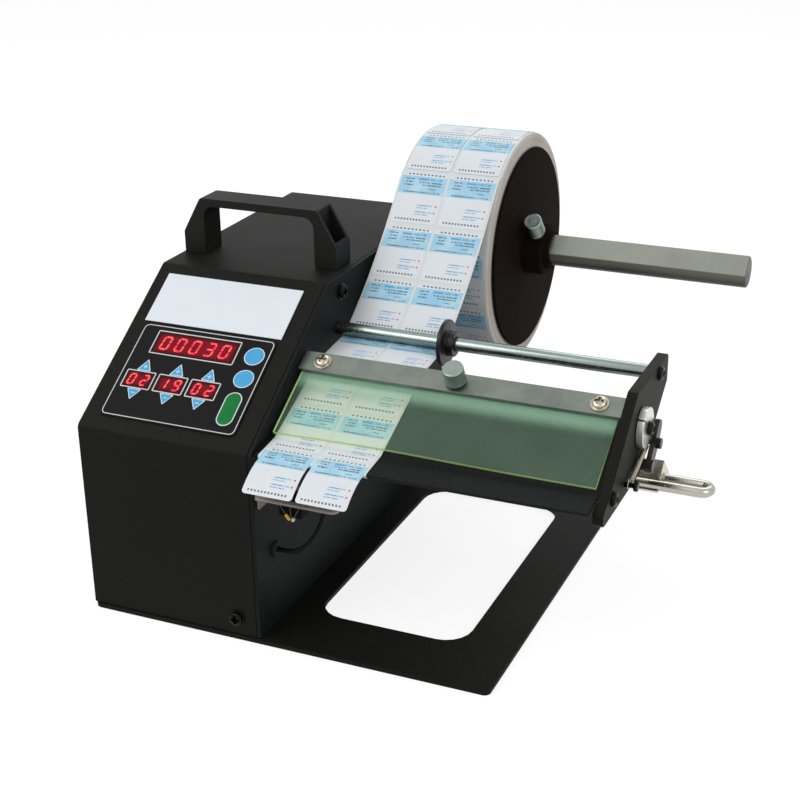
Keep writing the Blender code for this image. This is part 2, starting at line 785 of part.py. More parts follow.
def panel_pieces(panel):
    name_plate = slab("name_plate", rectangle(PLATE_LEFT, PLATE_LOW, PLATE_WIDE, PLATE_TALL), SKIN,
                      PANEL_WHITE, at=(0, 0, GAP), axis="z")
    on_slope(name_plate, panel)
    windows = display_windows()
    holes = [grown(window, GAP) for window in windows.values()]
    overlay = slab("keypad_overlay", rectangle(PAD_LEFT, PAD_LOW, PAD_WIDE, PAD_TALL, PAD_CORNER), SKIN,
                   PANEL_BLACK, at=(0, 0, GAP), axis="z", holes=holes)
    on_slope(overlay, panel)
    face = GAP + SKIN
    for name, (left, low, width, height) in windows.items():
        on_slope(box(name, (width, height, DISPLAY_DEEP), DISPLAY_RED,
                     at=(left, low, face - DISPLAY_DEEP)), panel)
    board = rectangle(PAD_LEFT + BOARD_MARGIN, PAD_LOW + BOARD_MARGIN,
                      PAD_WIDE - 2 * BOARD_MARGIN, PAD_TALL - 2 * BOARD_MARGIN)
    on_slope(slab("display_board", board, BOARD_THICK, BOARD_GREEN,
                  at=(0, 0, face - DISPLAY_DEEP - GAP - BOARD_THICK), axis="z"), panel)


# Boards and power entry

def control_board():
    """Board on four studs, with the mains block of its supply on it."""
    board = box("control_board", (CONTROL_WIDE, CONTROL_DEEP, BOARD_THICK), BOARD_GREEN,
                at=(CONTROL_LEFT, CONTROL_FRONT, FLOOR + STUD_HEIGHT))
    for i in (0, 1):
        for j in (0, 1):
            x = CONTROL_LEFT + STUD_INSET + i * (CONTROL_WIDE - 2 * STUD_INSET)
            y = CONTROL_FRONT + STUD_INSET + j * (CONTROL_DEEP - 2 * STUD_INSET)
            join(board, rod("stud", STUD_HEIGHT + BOARD_THICK / 2, STUD_RADIUS, STEEL,
                            at=(x, y, FLOOR), sides=SMALL_ROUND, axis="z"))
    block = box("block", (BLOCK_WIDE, BLOCK_DEEP, BLOCK_TALL), BOARD_GREEN,
                at=(CONTROL_LEFT + STUD_INSET, CONTROL_FRONT + 2 * STUD_INSET,
                    FLOOR + STUD_HEIGHT + BOARD_THICK / 2))
    join(board, block)


def rocker_centre():
    """Middle of the rocker in the back face."""
    x = ENTRY_LEFT + ENTRY_WIDE / 2
    z = ENTRY_LOW + ENTRY_TALL - ROCKER_DROP - ROCKER_TALL / 2
    return Vector((x, COVER_BACK + GAP + ENTRY_RIM_THICK, z))


def power_entry():
    """Inlet socket with a rocker switch above it, in one moulded body."""
    rim = rectangle(ENTRY_LEFT - ENTRY_RIM, ENTRY_LOW - ENTRY_RIM,
                    ENTRY_WIDE + 2 * ENTRY_RIM, ENTRY_TALL + 2 * ENTRY_RIM)
    outside = COVER_BACK + GAP + ENTRY_RIM_THICK
    entry = slab("power_entry", rim, ENTRY_RIM_THICK, PLASTIC, at=(0, outside, 0), axis="y")
    body = rectangle(ENTRY_LEFT, ENTRY_LOW, ENTRY_WIDE, ENTRY_TALL)
    join(entry, slab("body", body, ENTRY_DEEP, PLASTIC, at=(0, outside - ENTRY_RIM_THICK / 2, 0), axis="y"))
    side = (ENTRY_WIDE - SOCKET_WIDE) / 2
    socket = rectangle(ENTRY_LEFT + side, ENTRY_LOW + SOCKET_RISE, SOCKET_WIDE, SOCKET_TALL)
    cut(entry, slab("socket", socket, SOCKET_DEEP + OVERRUN, PLASTIC,
                    at=(0, outside + OVERRUN, 0), axis="y"))
    centre = rocker_centre()
    well = rectangle(centre.x - ROCKER_WIDE / 2 - GAP, centre.z - ROCKER_TALL / 2 - GAP,
                     ROCKER_WIDE + 2 * GAP, ROCKER_TALL + 2 * GAP)
    cut(entry, slab("well", well, ROCKER_DEEP + OVERRUN, PLASTIC,
                    at=(0, outside + OVERRUN, 0), axis="y"))


def power_rocker():
    """Rocker that turns about a pin along X, drawn in its off position."""
    centre = rocker_centre()
    half = ROCKER_TALL / 2 - GAP
    tilt = half * math.tan(math.radians(ROCKER_DEGREES))
    outline = [(tilt, half), (GAP, 0), (tilt / 2, -half), (-ROCKER_DEEP / 2, -half / 2),
               (-ROCKER_DEEP / 2, half / 2)]
    slab("power_rocker", [Vector(p) for p in outline], ROCKER_WIDE, PLASTIC,
         at=(centre.x - ROCKER_WIDE / 2, centre.y, centre.z))


# Drive inside the box

def motor_face():
    """X of the bracket's outer face, where the gearbox is screwed on."""
    return SIDE_LOW - GAP - BRACKET_REACH


def gear_motor():
    shaft = MOTOR_SHAFT_LENGTH
    gearbox = GEARBOX_LENGTH
    profile = [
        (0, 0), (0, MOTOR_RADIUS), (MOTOR_LENGTH, MOTOR_RADIUS), (MOTOR_LENGTH, GEARBOX_RADIUS),
        (MOTOR_LENGTH + gearbox, GEARBOX_RADIUS), (MOTOR_LENGTH + gearbox, MOTOR_SHAFT),
        (MOTOR_LENGTH + gearbox + shaft, MOTOR_SHAFT), (MOTOR_LENGTH + gearbox + shaft, 0),
    ]
    left = motor_face() - GAP - gearbox - MOTOR_LENGTH
    turned("gear_motor", profile, STEEL, (left, DRIVE.x, DRIVE.y))


def motor_bracket():
    """Channel between the gearbox and the side plate."""
    low = DRIVE.y + BRACKET_RISE - BRACKET_TALL
    left = motor_face()
    right = SIDE_LOW - GAP
    near = DRIVE.x - BRACKET_HALF
    far = DRIVE.x + BRACKET_HALF
    sheet = BRACKET_SHEET
    outline = [(right, near), (right, near + sheet), (left + sheet, near + sheet),
               (left + sheet, far - sheet), (right, far - sheet), (right, far), (left, far), (left, near)]
    bracket = slab("motor_bracket", outline, BRACKET_TALL, STEEL, at=(0, 0, low), axis="z")
    cut(bracket, rod("shaft_hole", sheet + 2 * OVERRUN, MOTOR_SHAFT + GAP, STEEL,
                     at=(left - OVERRUN, DRIVE.x, DRIVE.y), sides=SMALL_ROUND))
    pass_wide = BELT_WIDTH + 2 * BELT_CLEAR
    cut(bracket, box("belt_pass", (pass_wide, sheet + 2 * OVERRUN, DRIVE.y + BELT_CLEAR - low + OVERRUN),
                     STEEL, at=(belt_left() - BELT_CLEAR, far - sheet - OVERRUN, low - OVERRUN)))


def belt_left():
    """X of the belt's left edge."""
    return SIDE_LOW - GAP - BELT_INSET - BELT_WIDTH


def pulley_profile(radius, bore):
    """A pulley with a rim at each side of the belt, as a ring from its left face."""
    rim = RIM_WIDTH
    belt = BELT_WIDTH + 2 * GAP
    return [(0, bore), (0, radius + PULLEY_RIM), (rim, radius + PULLEY_RIM), (rim, radius),
            (rim + belt, radius), (rim + belt, radius + PULLEY_RIM),
            (2 * rim + belt, radius + PULLEY_RIM), (2 * rim + belt, bore)]


def shaft_start():
    """X where the drive shaft starts inside the coupling."""
    return motor_face() + BRACKET_SHEET + MOTOR_SHAFT_LENGTH


def drive_pulley():
    """Pulley whose long hub couples the motor shaft to the drive shaft."""
    left = belt_left() - GAP - RIM_WIDTH
    hub = motor_face() + BRACKET_SHEET + 2 * GAP
    swap = shaft_start() - FIT
    bore = DRIVE_SHAFT + FIT
    pulley = [(left + t, r) for t, r in pulley_profile(PULLEY_RADIUS, bore)]
    profile = ([(hub, MOTOR_SHAFT + FIT), (hub, COUPLING_RADIUS), (left, COUPLING_RADIUS)]
               + pulley[1:] + [(swap, bore), (swap, MOTOR_SHAFT + FIT)])
    turned("drive_pulley", [(t - hub, r) for t, r in profile], ALUMINIUM, (hub, DRIVE.x, DRIVE.y))


def rewind_pulley():
    left = belt_left() - GAP - RIM_WIDTH
    profile = pulley_profile(REWIND_PULLEY_RADIUS, JOURNAL_RADIUS + FIT)
    turned("rewind_pulley", profile, ALUMINIUM, (left, REWIND.x, REWIND.y))


def rewind_belt():
    inner = belt_loop(DRIVE, PULLEY_RADIUS + GAP, REWIND, REWIND_PULLEY_RADIUS + GAP, SMALL_ROUND)
    outer = belt_loop(DRIVE, PULLEY_RADIUS + GAP + BELT_THICK,
                      REWIND, REWIND_PULLEY_RADIUS + GAP + BELT_THICK, SMALL_ROUND)
    slab("rewind_belt", outer, BELT_WIDTH, RUBBER, at=(belt_left(), 0, 0), holes=[inner], smooth=True)


# Peeling head

def outer_side_plate():
    bottom = NOSE.y - OUTER_BOTTOM_DROP
    top = NOSE.y + OUTER_TOP_RISE
    corners = [
        (NOSE.x + OUTER_TIP_SETBACK, bottom),
        (NOSE.x + OUTER_HEEL, bottom),
        (NOSE.x + OUTER_HEEL + OUTER_HEEL_RUN, bottom),
        (NOSE.x + OUTER_BACK, top - OUTER_BACK_DROP),
        (NOSE.x + OUTER_BACK, top),
        (NOSE.x + OUTER_TOP_FRONT, top),
        (NOSE.x + OUTER_NOSE_TOP, NOSE.y + OUTER_NOSE_RISE),
        (NOSE.x + OUTER_TIP_SETBACK, NOSE.y - OUTER_TIP_DROP),
    ]
    outline = rounded(corners, [OUTER_CORNER, 0] + [OUTER_CORNER] * (len(corners) - 2), 4)
    holes = [
        circle(DRIVE, DRIVE_SHAFT + FIT, ROUND),
        circle(PIVOT, PIVOT_SHAFT + FIT, ROUND),
        circle(ROD, SCREW_SHANK + FIT, SMALL_ROUND),
        circle(TIE, SCREW_SHANK + FIT, SMALL_ROUND),
        circle(LOWER_POST, POST_RADIUS + FIT, SMALL_ROUND),
    ]
    slab("outer_side_plate", outline, OUTER_THICK, POWDER, at=(HEAD_END, 0, 0), holes=holes, smooth=True)


def head_bar(name, centre, radius, finish):
    """A round bar that spans the two plates."""
    return rod(name, PLATE_SPAN - 2 * GAP, radius, finish,
               (SIDE_FACE + GAP, centre.x, centre.y), ROUND, edge=GAP)


def head_rods():
    head_bar("guide_rod", ROD, ROD_RADIUS, BRIGHT)
    head_bar("tie_rod", TIE, TIE_RADIUS, STEEL)
    for name, place in (("rod_end_screw", ROD), ("tie_rod_screw", TIE)):
        screw(name, (OUTER_FACE, place.x, place.y), "x", OUTER_THICK - GAP, BLACK_STEEL, washer=False)


def peel_plate():
    """Bent sheet with a rounded nose, the table that the web slides down."""
    skirt = TABLE_REAR + Vector((0, -TABLE_SKIRT))
    nose = PEEL_SHEET / 2
    top = [from_nose(nose, 0), TABLE_BEND, TABLE_REAR, skirt]
    under = offset_line(top, -PEEL_SHEET)
    start = flat_normal(top[0], top[1])
    lean = math.atan2(start.y, start.x)
    centre = top[0] - start * nose
    tip = arc(centre, nose, lean + math.pi, lean, 2 * ARC_STEPS)[1:-1]
    outline = [under[0]] + tip + top + under[:0:-1]
    slab("peel_plate", outline, PLATE_SPAN - 2 * GAP, POWDER, at=(SIDE_FACE + GAP, 0, 0))


def strip_point(along, off):
    """A point of the side view in the clamp strip's own directions."""
    return STRIP_EDGE + along * ALONG_STRIP + off * OFF_STRIP


def strip_block(low, high, start, end):
    """Outline of a bar that follows the clamp strip's slope."""
    return [strip_point(start, low), strip_point(end, low), strip_point(end, high),
            strip_point(start, high)]


def strip_screws():
    """X of each screw in the clamp strip."""
    left = SIDE_FACE + STRIP_SCREW_INSET
    right = HEAD_END - STRIP_SCREW_INSET
    return {"strip_screw_left": left, "strip_thumb_screw": (left + right) / 2,
            "strip_screw_right": right}


def strip_turned(name, profile, finish, x, off, sides=SMALL_ROUND):
    """A turned piece whose axis stands on the strip, starting off its upper face."""
    place = strip_point(STRIP_WIDTH / 2, off)
    made = turned(name, profile, finish, (x, place.x, place.y), sides, "z")
    made.rotation_euler = (STRIP_ANGLE, 0, 0)
    return made


def clamp_stack():
    """Strip, hold-down plate and rail, drilled together for their three screws."""
    start = strip_point(STRIP_WIDTH - GAP, -STRIP_THICK - GAP - HOLD_SHEET)
    knee = strip_point(-STRIP_THICK, -STRIP_THICK - GAP - HOLD_SHEET)
    foot_y = NOSE.x + HOLD_FOOT
    table_slope = TABLE_RISE / TABLE_RUN
    web_top = TABLE_BEND.y + (foot_y - TABLE_BEND.x) * table_slope + 2 * GAP + PAPER
    foot = Vector((foot_y, web_top + HOLD_LIFT))
    sheet = ribbon([foot, knee, start], HOLD_SHEET)
    width = PLATE_SPAN - 2 * GAP
    inner = PLATE_SPAN - 2 * HOLD_END
    rail_top = -STRIP_THICK - 2 * GAP - HOLD_SHEET
    pieces = [
        slab("clamp_strip", strip_block(-STRIP_THICK, 0, 0, STRIP_WIDTH), width, STEEL,
             at=(SIDE_FACE + GAP, 0, 0)),
        slab("hold_down_plate", sheet, inner, ACRYLIC, at=(SIDE_FACE + HOLD_END, 0, 0)),
        slab("clamp_rail", strip_block(rail_top - RAIL_THICK, rail_top, GAP, STRIP_WIDTH - GAP), width,
             POWDER, at=(SIDE_FACE + GAP, 0, 0)),
    ]
    for piece in pieces:
        for x in strip_screws().values():
            hole = strip_turned("hole", [(0, 0), (0, THUMB_SHANK + GAP), (2 * OVERRUN + STRIP_WIDTH,
                                THUMB_SHANK + GAP), (2 * OVERRUN + STRIP_WIDTH, 0)], STEEL, x, -STRIP_WIDTH)
            cut(piece, hole)


def strip_fasteners():
    """Two pan head screws with washers, and the knurled thumb screw between them."""
    hold = STRIP_THICK + HOLD_SHEET + RAIL_THICK
    head = SCREW_HEAD_THICK
    for name, x in strip_screws().items():
        if name == "strip_thumb_screw":
            stem = GAP + THUMB_STEM
            top = stem + THUMB_HEIGHT
            neck = THUMB_RADIUS / 2
            profile = [(-hold, 0), (-hold, THUMB_SHANK), (GAP, THUMB_SHANK), (GAP, neck), (stem, neck),
                       (stem, THUMB_RADIUS), (top, THUMB_RADIUS), (top, 0)]
            strip_turned(name, profile, BRIGHT, x, 0, ROUND)
            continue
        lid = GAP + WASHER_THICK
        profile = [(-hold, 0), (-hold, SCREW_SHANK), (GAP, SCREW_SHANK), (GAP, WASHER_RADIUS),
                   (lid, WASHER_RADIUS), (lid, SCREW_HEAD), (lid + head / 2, SCREW_HEAD),
                   (lid + head, SCREW_HEAD / 2), (lid + head, 0)]
        strip_turned(name, profile, BRIGHT, x, 0)


def guide_collar():
    """Rim and hub that slide on the guide rod and keep the web in line."""
    rim = COLLAR_RIM_THICK
    end = rim + COLLAR_HUB_LENGTH
    bore = ROD_RADIUS + FIT
    profile = [(0, bore), (0, COLLAR_RIM), (rim, COLLAR_RIM), (rim, COLLAR_HUB), (end, COLLAR_HUB),
               (end, bore)]
    turned("guide_collar", profile, PLASTIC, (WEB_RIGHT + GAP, ROD.x, ROD.y))


# Rollers

def sleeve_left():
    return SIDE_FACE + SLEEVE_END


def drive_roller():
    start = shaft_start() + FIT
    end = OUTER_FACE + GAP + HUB_COLLAR_THICK
    rod("drive_shaft", end - start, DRIVE_SHAFT, STEEL, (start, DRIVE.x, DRIVE.y), edge=GAP)
    ring("drive_sleeve", PLATE_SPAN - 2 * SLEEVE_END, DRIVE_SHAFT + FIT, DRIVE_RADIUS, RUBBER,
         (sleeve_left(), DRIVE.x, DRIVE.y))


def shaft_collar():
    """Split clamp collar on the drive shaft, outside the outer plate."""
    collar = ring("shaft_collar", HUB_COLLAR_THICK, DRIVE_SHAFT + FIT, HUB_COLLAR_RADIUS, ALUMINIUM,
                  (OUTER_FACE + GAP, DRIVE.x, DRIVE.y), ROUND + 4)
    gap = rectangle(-HUB_COLLAR_RADIUS - DRIVE_SHAFT, -HUB_COLLAR_SLIT / 2, HUB_COLLAR_RADIUS,
                    HUB_COLLAR_SLIT)
    slit = slab("slit", gap, HUB_COLLAR_THICK + 2 * OVERRUN, ALUMINIUM,
                at=(OUTER_FACE - OVERRUN, DRIVE.x, DRIVE.y))
    slit.rotation_euler = (-math.radians(HUB_COLLAR_SLIT_DEGREES), 0, 0)
    cut(collar, slit)
    head = OUTER_FACE + 2 * GAP + HUB_COLLAR_THICK
    rod("collar_screw", COLLAR_SCREW_THICK, COLLAR_SCREW_HEAD, BLACK_STEEL,
        (head, DRIVE.x, DRIVE.y), SMALL_ROUND, edge=GAP)


def pinch_yoke():
    """Pivot shaft, two arms and the pinch roller's axle, in one piece."""
    left = SIDE_LOW - SIDE_THICK
    yoke = rod("pinch_yoke", OUTER_FACE - left, PIVOT_SHAFT, STEEL, (left, PIVOT.x, PIVOT.y))
    first = SIDE_FACE + GAP
    last = HEAD_END - GAP - ARM_THICK
    for x in (first, last):
        join(yoke, slab("arm", capsule(PIVOT, PINCH, ARM_WIDTH), ARM_THICK, STEEL, at=(x, 0, 0)))
    join(yoke, rod("axle", last - first, PINCH_AXLE, STEEL,
                   (first + ARM_THICK / 2, PINCH.x, PINCH.y), SMALL_ROUND))


def pinch_roller():
    start = SIDE_FACE + 2 * GAP + ARM_THICK
    end = HEAD_END - 2 * GAP - ARM_THICK
    ring("pinch_roller", end - start, PINCH_AXLE + FIT, PINCH_RADIUS, RUBBER,
         (start, PINCH.x, PINCH.y), ROUND)


def hull(points):
    """The convex outline around points of a plane."""
    return [Vector(points[i]) for i in geometry.convex_hull_2d(points)]


def release_lever():
    """Finger lever on the pivot shaft's end, with an ear whose post the spring pulls."""
    outside = LEVER_FACE + LEVER_THICK
    inside = LEVER_FACE + LEVER_THICK / 2
    start = OUTER_FACE + GAP
    blank = hull(circle(PIVOT, LEVER_WIDTH / 2, ROUND) + circle(LEVER_TIP, LEVER_WIDTH / 2, ROUND)
                 + circle(UPPER_POST, LUG_WIDTH / 2, ROUND))
    local = [point - PIVOT for point in blank]
    lever = slab("release_lever", local, LEVER_THICK, BLACK_STEEL,
                 at=(LEVER_FACE, PIVOT.x, PIVOT.y), smooth=True)
    join(lever, rod("boss", inside - start, BOSS_RADIUS, BLACK_STEEL, (start, PIVOT.x, PIVOT.y),
                    SMALL_ROUND))
    join(lever, rod("pivot_head", outside + PIVOT_HEAD_THICK - inside, PIVOT_HEAD, BLACK_STEEL,
                    (inside, PIVOT.x, PIVOT.y), SMALL_ROUND))
    head = outside + POST_HEAD_THICK
    profile = [(start, 0), (start, POST_RADIUS), (inside, POST_RADIUS), (inside, POST_HEAD),
               (head, POST_HEAD), (head, 0)]
    join(lever, turned("upper_post", profile, BLACK_STEEL, (0, UPPER_POST.x, UPPER_POST.y),
                       SMALL_ROUND))


def lower_spring_post():
    start = HEAD_END + GAP
    neck = OUTER_FACE + ANCHOR_REACH - start
    profile = [(0, 0), (0, POST_RADIUS), (neck, POST_RADIUS), (neck, POST_HEAD),
               (neck + POST_HEAD_THICK, POST_HEAD), (neck + POST_HEAD_THICK, 0)]
    turned("lower_spring_post", profile, BLACK_STEEL, (start, LOWER_POST.x, LOWER_POST.y), SMALL_ROUND)


def spring_points():
    """Hook, helix and hook of the tension spring as one line of points.

    The helix lies on the line between the posts with radius SPRING_COIL, eight points a turn.
    Each hook goes most of the way round its post and ends where the helix starts.
    """
    low = Vector((SPRING_PLANE, LOWER_POST.x, LOWER_POST.y))
    high = Vector((SPRING_PLANE, UPPER_POST.x, UPPER_POST.y))
    axis = (high - low).normalized()
    side = Vector((1, 0, 0))
    across = axis.cross(side)
    eye = POST_RADIUS + GAP + SPRING_WIRE
    lead = eye + SPRING_PITCH
    body = (high - low).length - 2 * lead
    steps = 8 * round(body / SPRING_PITCH)
    helix = []
    for i in range(steps + 1):
        turn = 2 * math.pi * i / 8
        place = low + axis * (lead + body * i / steps)
        helix.append(place + SPRING_COIL * (math.cos(turn) * across + math.sin(turn) * side))
    turns = np.linspace(math.radians(-60), math.radians(200), 10)
    lower = [low - eye * (math.sin(a) * axis + math.cos(a) * across) for a in turns]
    upper = [high + eye * (math.sin(a) * axis - math.cos(a) * across) for a in turns]
    return lower + helix + upper[::-1]


def self_gap(points, radius, skip):
    """Least distance between the skins of two stretches of one wire, by its points."""
    line = np.array([tuple(p) for p in points])
    far = np.linalg.norm(line[:, None] - line[None], axis=2)
    index = np.arange(len(line))
    far[np.abs(index[:, None] - index[None]) < skip] = np.inf
    return far.min() - 2 * radius


def tension_spring():
    points = spring_points()
    print("spring gap to itself in mm:", round(self_gap(points, SPRING_WIRE, 6) * 1000, 3))
    wire("tension_spring", points, SPRING_WIRE, BRIGHT, resolution=1)


# Rewind shaft

def bar_outline():
    """Section of the rewind bar: two flanks that meet on top at a right angle, and a flat below."""
    half = REWIND_FLANK / math.sqrt(2)
    low = REWIND_APEX - half
    foot = half - (REWIND_BELOW + low)
    return [(-foot, -REWIND_BELOW), (foot, -REWIND_BELOW), (half, low), (0, REWIND_APEX), (-half, low)]


def liner_bore():
    """Inside radius of the wound liner, which passes over the bar's corners."""
    return max(Vector(corner).length for corner in bar_outline()) + LINER_SLACK


def rewind_shaft():
    """Bar with a journal; a bore on its axis and a groove in front take the clip's legs."""
    start = belt_left() - GAP - RIM_WIDTH - GAP
    face = SIDE_FACE + GAP
    journal = rod("rewind_shaft", face - start + OVERRUN, JOURNAL_RADIUS, STEEL,
                  (start, REWIND.x, REWIND.y), ROUND)
    length = HEAD_END + REWIND_REACH - face
    join(journal, slab("bar", bar_outline(), length, STEEL, at=(face, REWIND.x, REWIND.y)))
    for y in (REWIND.x, REWIND.x - CLIP_SPACING):
        cut(journal, rod("seat", CLIP_LEG, CLIP_WIRE + GAP, STEEL,
                         (clip_end() - CLIP_LEG - GAP, y, REWIND.y), SMALL_ROUND))


def clip_end():
    """X where the clip's straight legs end and its bend starts."""
    return HEAD_END + REWIND_REACH + CLIP_REACH - CLIP_SPACING / 2 - CLIP_WIRE


def u_clip():
    """Bent wire whose inner leg lies in the bar's bore and whose outer leg holds the liner."""
    bend = arc((0, -CLIP_SPACING / 2), CLIP_SPACING / 2, math.pi / 2, -math.pi / 2, 10)
    points = [(-CLIP_LEG, 0, 0)]
    points += [(p.x, p.y, 0) for p in bend]
    points.append((-CLIP_LEG, -CLIP_SPACING, 0))
    wire("u_clip", points, CLIP_WIRE, BRIGHT, at=(clip_end(), REWIND.x, REWIND.y))


def liner_roll():
    ring("liner_roll", WEB_WIDTH, liner_bore(), liner_bore() + LINER_WALL, PAPER_WHITE,
         (WEB_LEFT, REWIND.x, REWIND.y), ROUND + 12)


# Supply side

def supply_spindle():
    """Round bar with a long flat, and a journal through the side plate and housing."""
    start = SIDE_LOW - 2 * GAP - HOUSING_LENGTH
    face = SIDE_FACE + GAP
    end = SIDE_FACE + SPINDLE_LENGTH
    edge = SPINDLE_RADIUS / 10
    profile = [(0, 0), (0, JOURNAL_RADIUS), (face - start, JOURNAL_RADIUS), (face - start, SPINDLE_RADIUS),
               (end - start - edge, SPINDLE_RADIUS), (end - start, SPINDLE_RADIUS - edge), (end - start, 0)]
    spindle = turned("supply_spindle", profile, STEEL, (start, SPINDLE.x, SPINDLE.y), ROUND + 4)
    side = 2 * SPINDLE_RADIUS
    flat = box("flat", (SPINDLE_LENGTH, side, side), STEEL,
               at=(ROLL_RIGHT + GAP, 0, 0))
    turn = math.atan2(-OFF_FLAT.x, OFF_FLAT.y)
    corner = OFF_FLAT * SPINDLE_FLAT - SPINDLE_RADIUS * Vector((math.cos(turn), math.sin(turn)))
    flat.location = (ROLL_RIGHT + GAP, SPINDLE.x + corner.x, SPINDLE.y + corner.y)
    flat.rotation_euler = (turn, 0, 0)
    cut(spindle, flat)


def spindle_housing():
    """Bearing block on the inside of the side plate."""
    left = SIDE_LOW - GAP - HOUSING_LENGTH
    outline = rectangle(SPINDLE.x - HOUSING_HALF, SPINDLE.y - HOUSING_HALF, 2 * HOUSING_HALF,
                        HOUSING_HALF + HOUSING_TOP)
    slab("spindle_housing", outline, HOUSING_LENGTH, ALUMINIUM, at=(left, 0, 0),
         holes=[circle(SPINDLE, JOURNAL_RADIUS + FIT, ROUND)])


def inner_flange():
    """Disc against the side plate, with the hub that the core sits on."""
    bore = SPINDLE_RADIUS + FIT
    thick = INNER_FLANGE_THICK
    profile = [(0, bore), (0, FLANGE_RADIUS), (thick, FLANGE_RADIUS), (thick, CORE_HUB),
               (thick + CORE_HUB_LENGTH, CORE_HUB), (thick + CORE_HUB_LENGTH, bore)]
    turned("inner_flange", profile, PLASTIC, (SIDE_FACE + GAP, SPINDLE.x, SPINDLE.y), FINE)


def label_roll():
    width = ROLL_RIGHT - ROLL_LEFT
    core = CORE_HUB + FIT
    ring("roll_core", width, core, core + CORE_WALL, CARD, (ROLL_LEFT, SPINDLE.x, SPINDLE.y), ROUND)
    ring("label_roll", width, core + CORE_WALL + GAP, ROLL_RADIUS, PAPER_WHITE,
         (ROLL_LEFT, SPINDLE.x, SPINDLE.y), FINE)


def outer_flange():
    """Disc that closes the roll, with its hub, flat on one side, and the clamping knob there."""
    bore = SPINDLE_RADIUS + FIT
    thick = OUTER_FLANGE_THICK
    end = thick + FLANGE_HUB_LENGTH
    shoulder = end - FLANGE_RING_LENGTH
    profile = [(0, bore), (0, FLANGE_RADIUS), (thick, FLANGE_RADIUS), (thick, FLANGE_HUB),
               (shoulder, FLANGE_HUB), (shoulder, FLANGE_RING), (end, FLANGE_RING), (end, bore)]
    left = ROLL_RIGHT + 2 * GAP
    flange = turned("outer_flange", profile, PLASTIC, (left, SPINDLE.x, SPINDLE.y), FINE)
    start = thick + FLANGE_HUB_ROOT
    flat = slab("flat", rectangle(0, -FLANGE_HUB, shoulder + OVERRUN / 2 - start, 2 * FLANGE_HUB),
                FLANGE_HUB, PLASTIC, axis="z")
    stand(flat, left + start, FLANGE_HUB_FLAT)
    cut(flange, flat)
    x = knob_x()
    hole = rod("hole", FLANGE_HUB + OVERRUN, THUMB_SHANK + FIT, PLASTIC, (0, 0, 0), SMALL_ROUND, axis="z")
    stand(hole, x, SPINDLE_FLAT / 2)
    cut(flange, hole)
    reach = FLANGE_HUB + KNOB_NECK
    start = SPINDLE_FLAT + GAP
    profile = [(start, 0), (start, THUMB_SHANK), (reach, THUMB_SHANK), (reach, KNOB_RADIUS),
               (reach + KNOB_HEIGHT, KNOB_RADIUS), (reach + KNOB_HEIGHT, 0)]
    knob = turned("flange_thumb_screw", profile, BRIGHT, (0, 0, 0), ROUND, "z")
    stand(knob, x, 0)


def knob_x():
    full = FLANGE_HUB_LENGTH - FLANGE_RING_LENGTH
    return ROLL_RIGHT + 2 * GAP + OUTER_FLANGE_THICK + full * KNOB_SHARE


def stand(piece, x, off):
    """Stand a piece on the spindle's axis, square to its flat."""
    piece.location = (x, SPINDLE.x + off * OFF_FLAT.x, SPINDLE.y + off * OFF_FLAT.y)
    piece.rotation_euler = (math.pi / 2 - FLAT_ANGLE, 0, 0)


# Paper

def run_between(first, side_first, second, side_second):
    """Ends of the straight run between two circles that the paper passes.

    A side is the distance from the circle's centre to the line, positive where the centre is
    to the left of the paper's travel and negative where it is to the right.
    """
    way = second - first
    lean = math.acos((side_second - side_first) / way.length)
    angle = math.atan2(way.y, way.x) + lean
    normal = Vector((math.cos(angle), math.sin(angle)))
    return first - normal * side_first, second - normal * side_second


def sagging_run(first, side_first, second, side_second, fall):
    """The run between two circles where the paper hangs: P(s) = A + s (B - A) - 4 s (1 - s) fall.

    A and B move round their circles until the curve leaves and meets them squarely.
    """
    start, end = run_between(first, side_first, second, side_second)
    slant = Vector((0, 4 * fall))
    for _ in range(6):
        chord = end - start
        start = first - flat_normal(slant, chord) * side_first
        end = second - flat_normal(-slant, chord) * side_second
    return [start.lerp(end, s) - slant * (s * (1 - s)) for s in np.linspace(0, 1, 13)]


def wrap(centre, start, end, steps=4):
    """Arc round a centre from one point on it to another, the shorter way."""
    first = start - centre
    last = end - centre
    swing = math.atan2(first.x * last.y - first.y * last.x, first.dot(last))
    begin = math.atan2(first.y, first.x)
    return arc(centre, first.length, begin, begin + swing, steps)


def nose_centre():
    """Centre of the peel plate's rounded nose."""
    start = from_nose(PEEL_SHEET / 2, 0)
    return start - flat_normal(start, TABLE_BEND) * PEEL_SHEET / 2


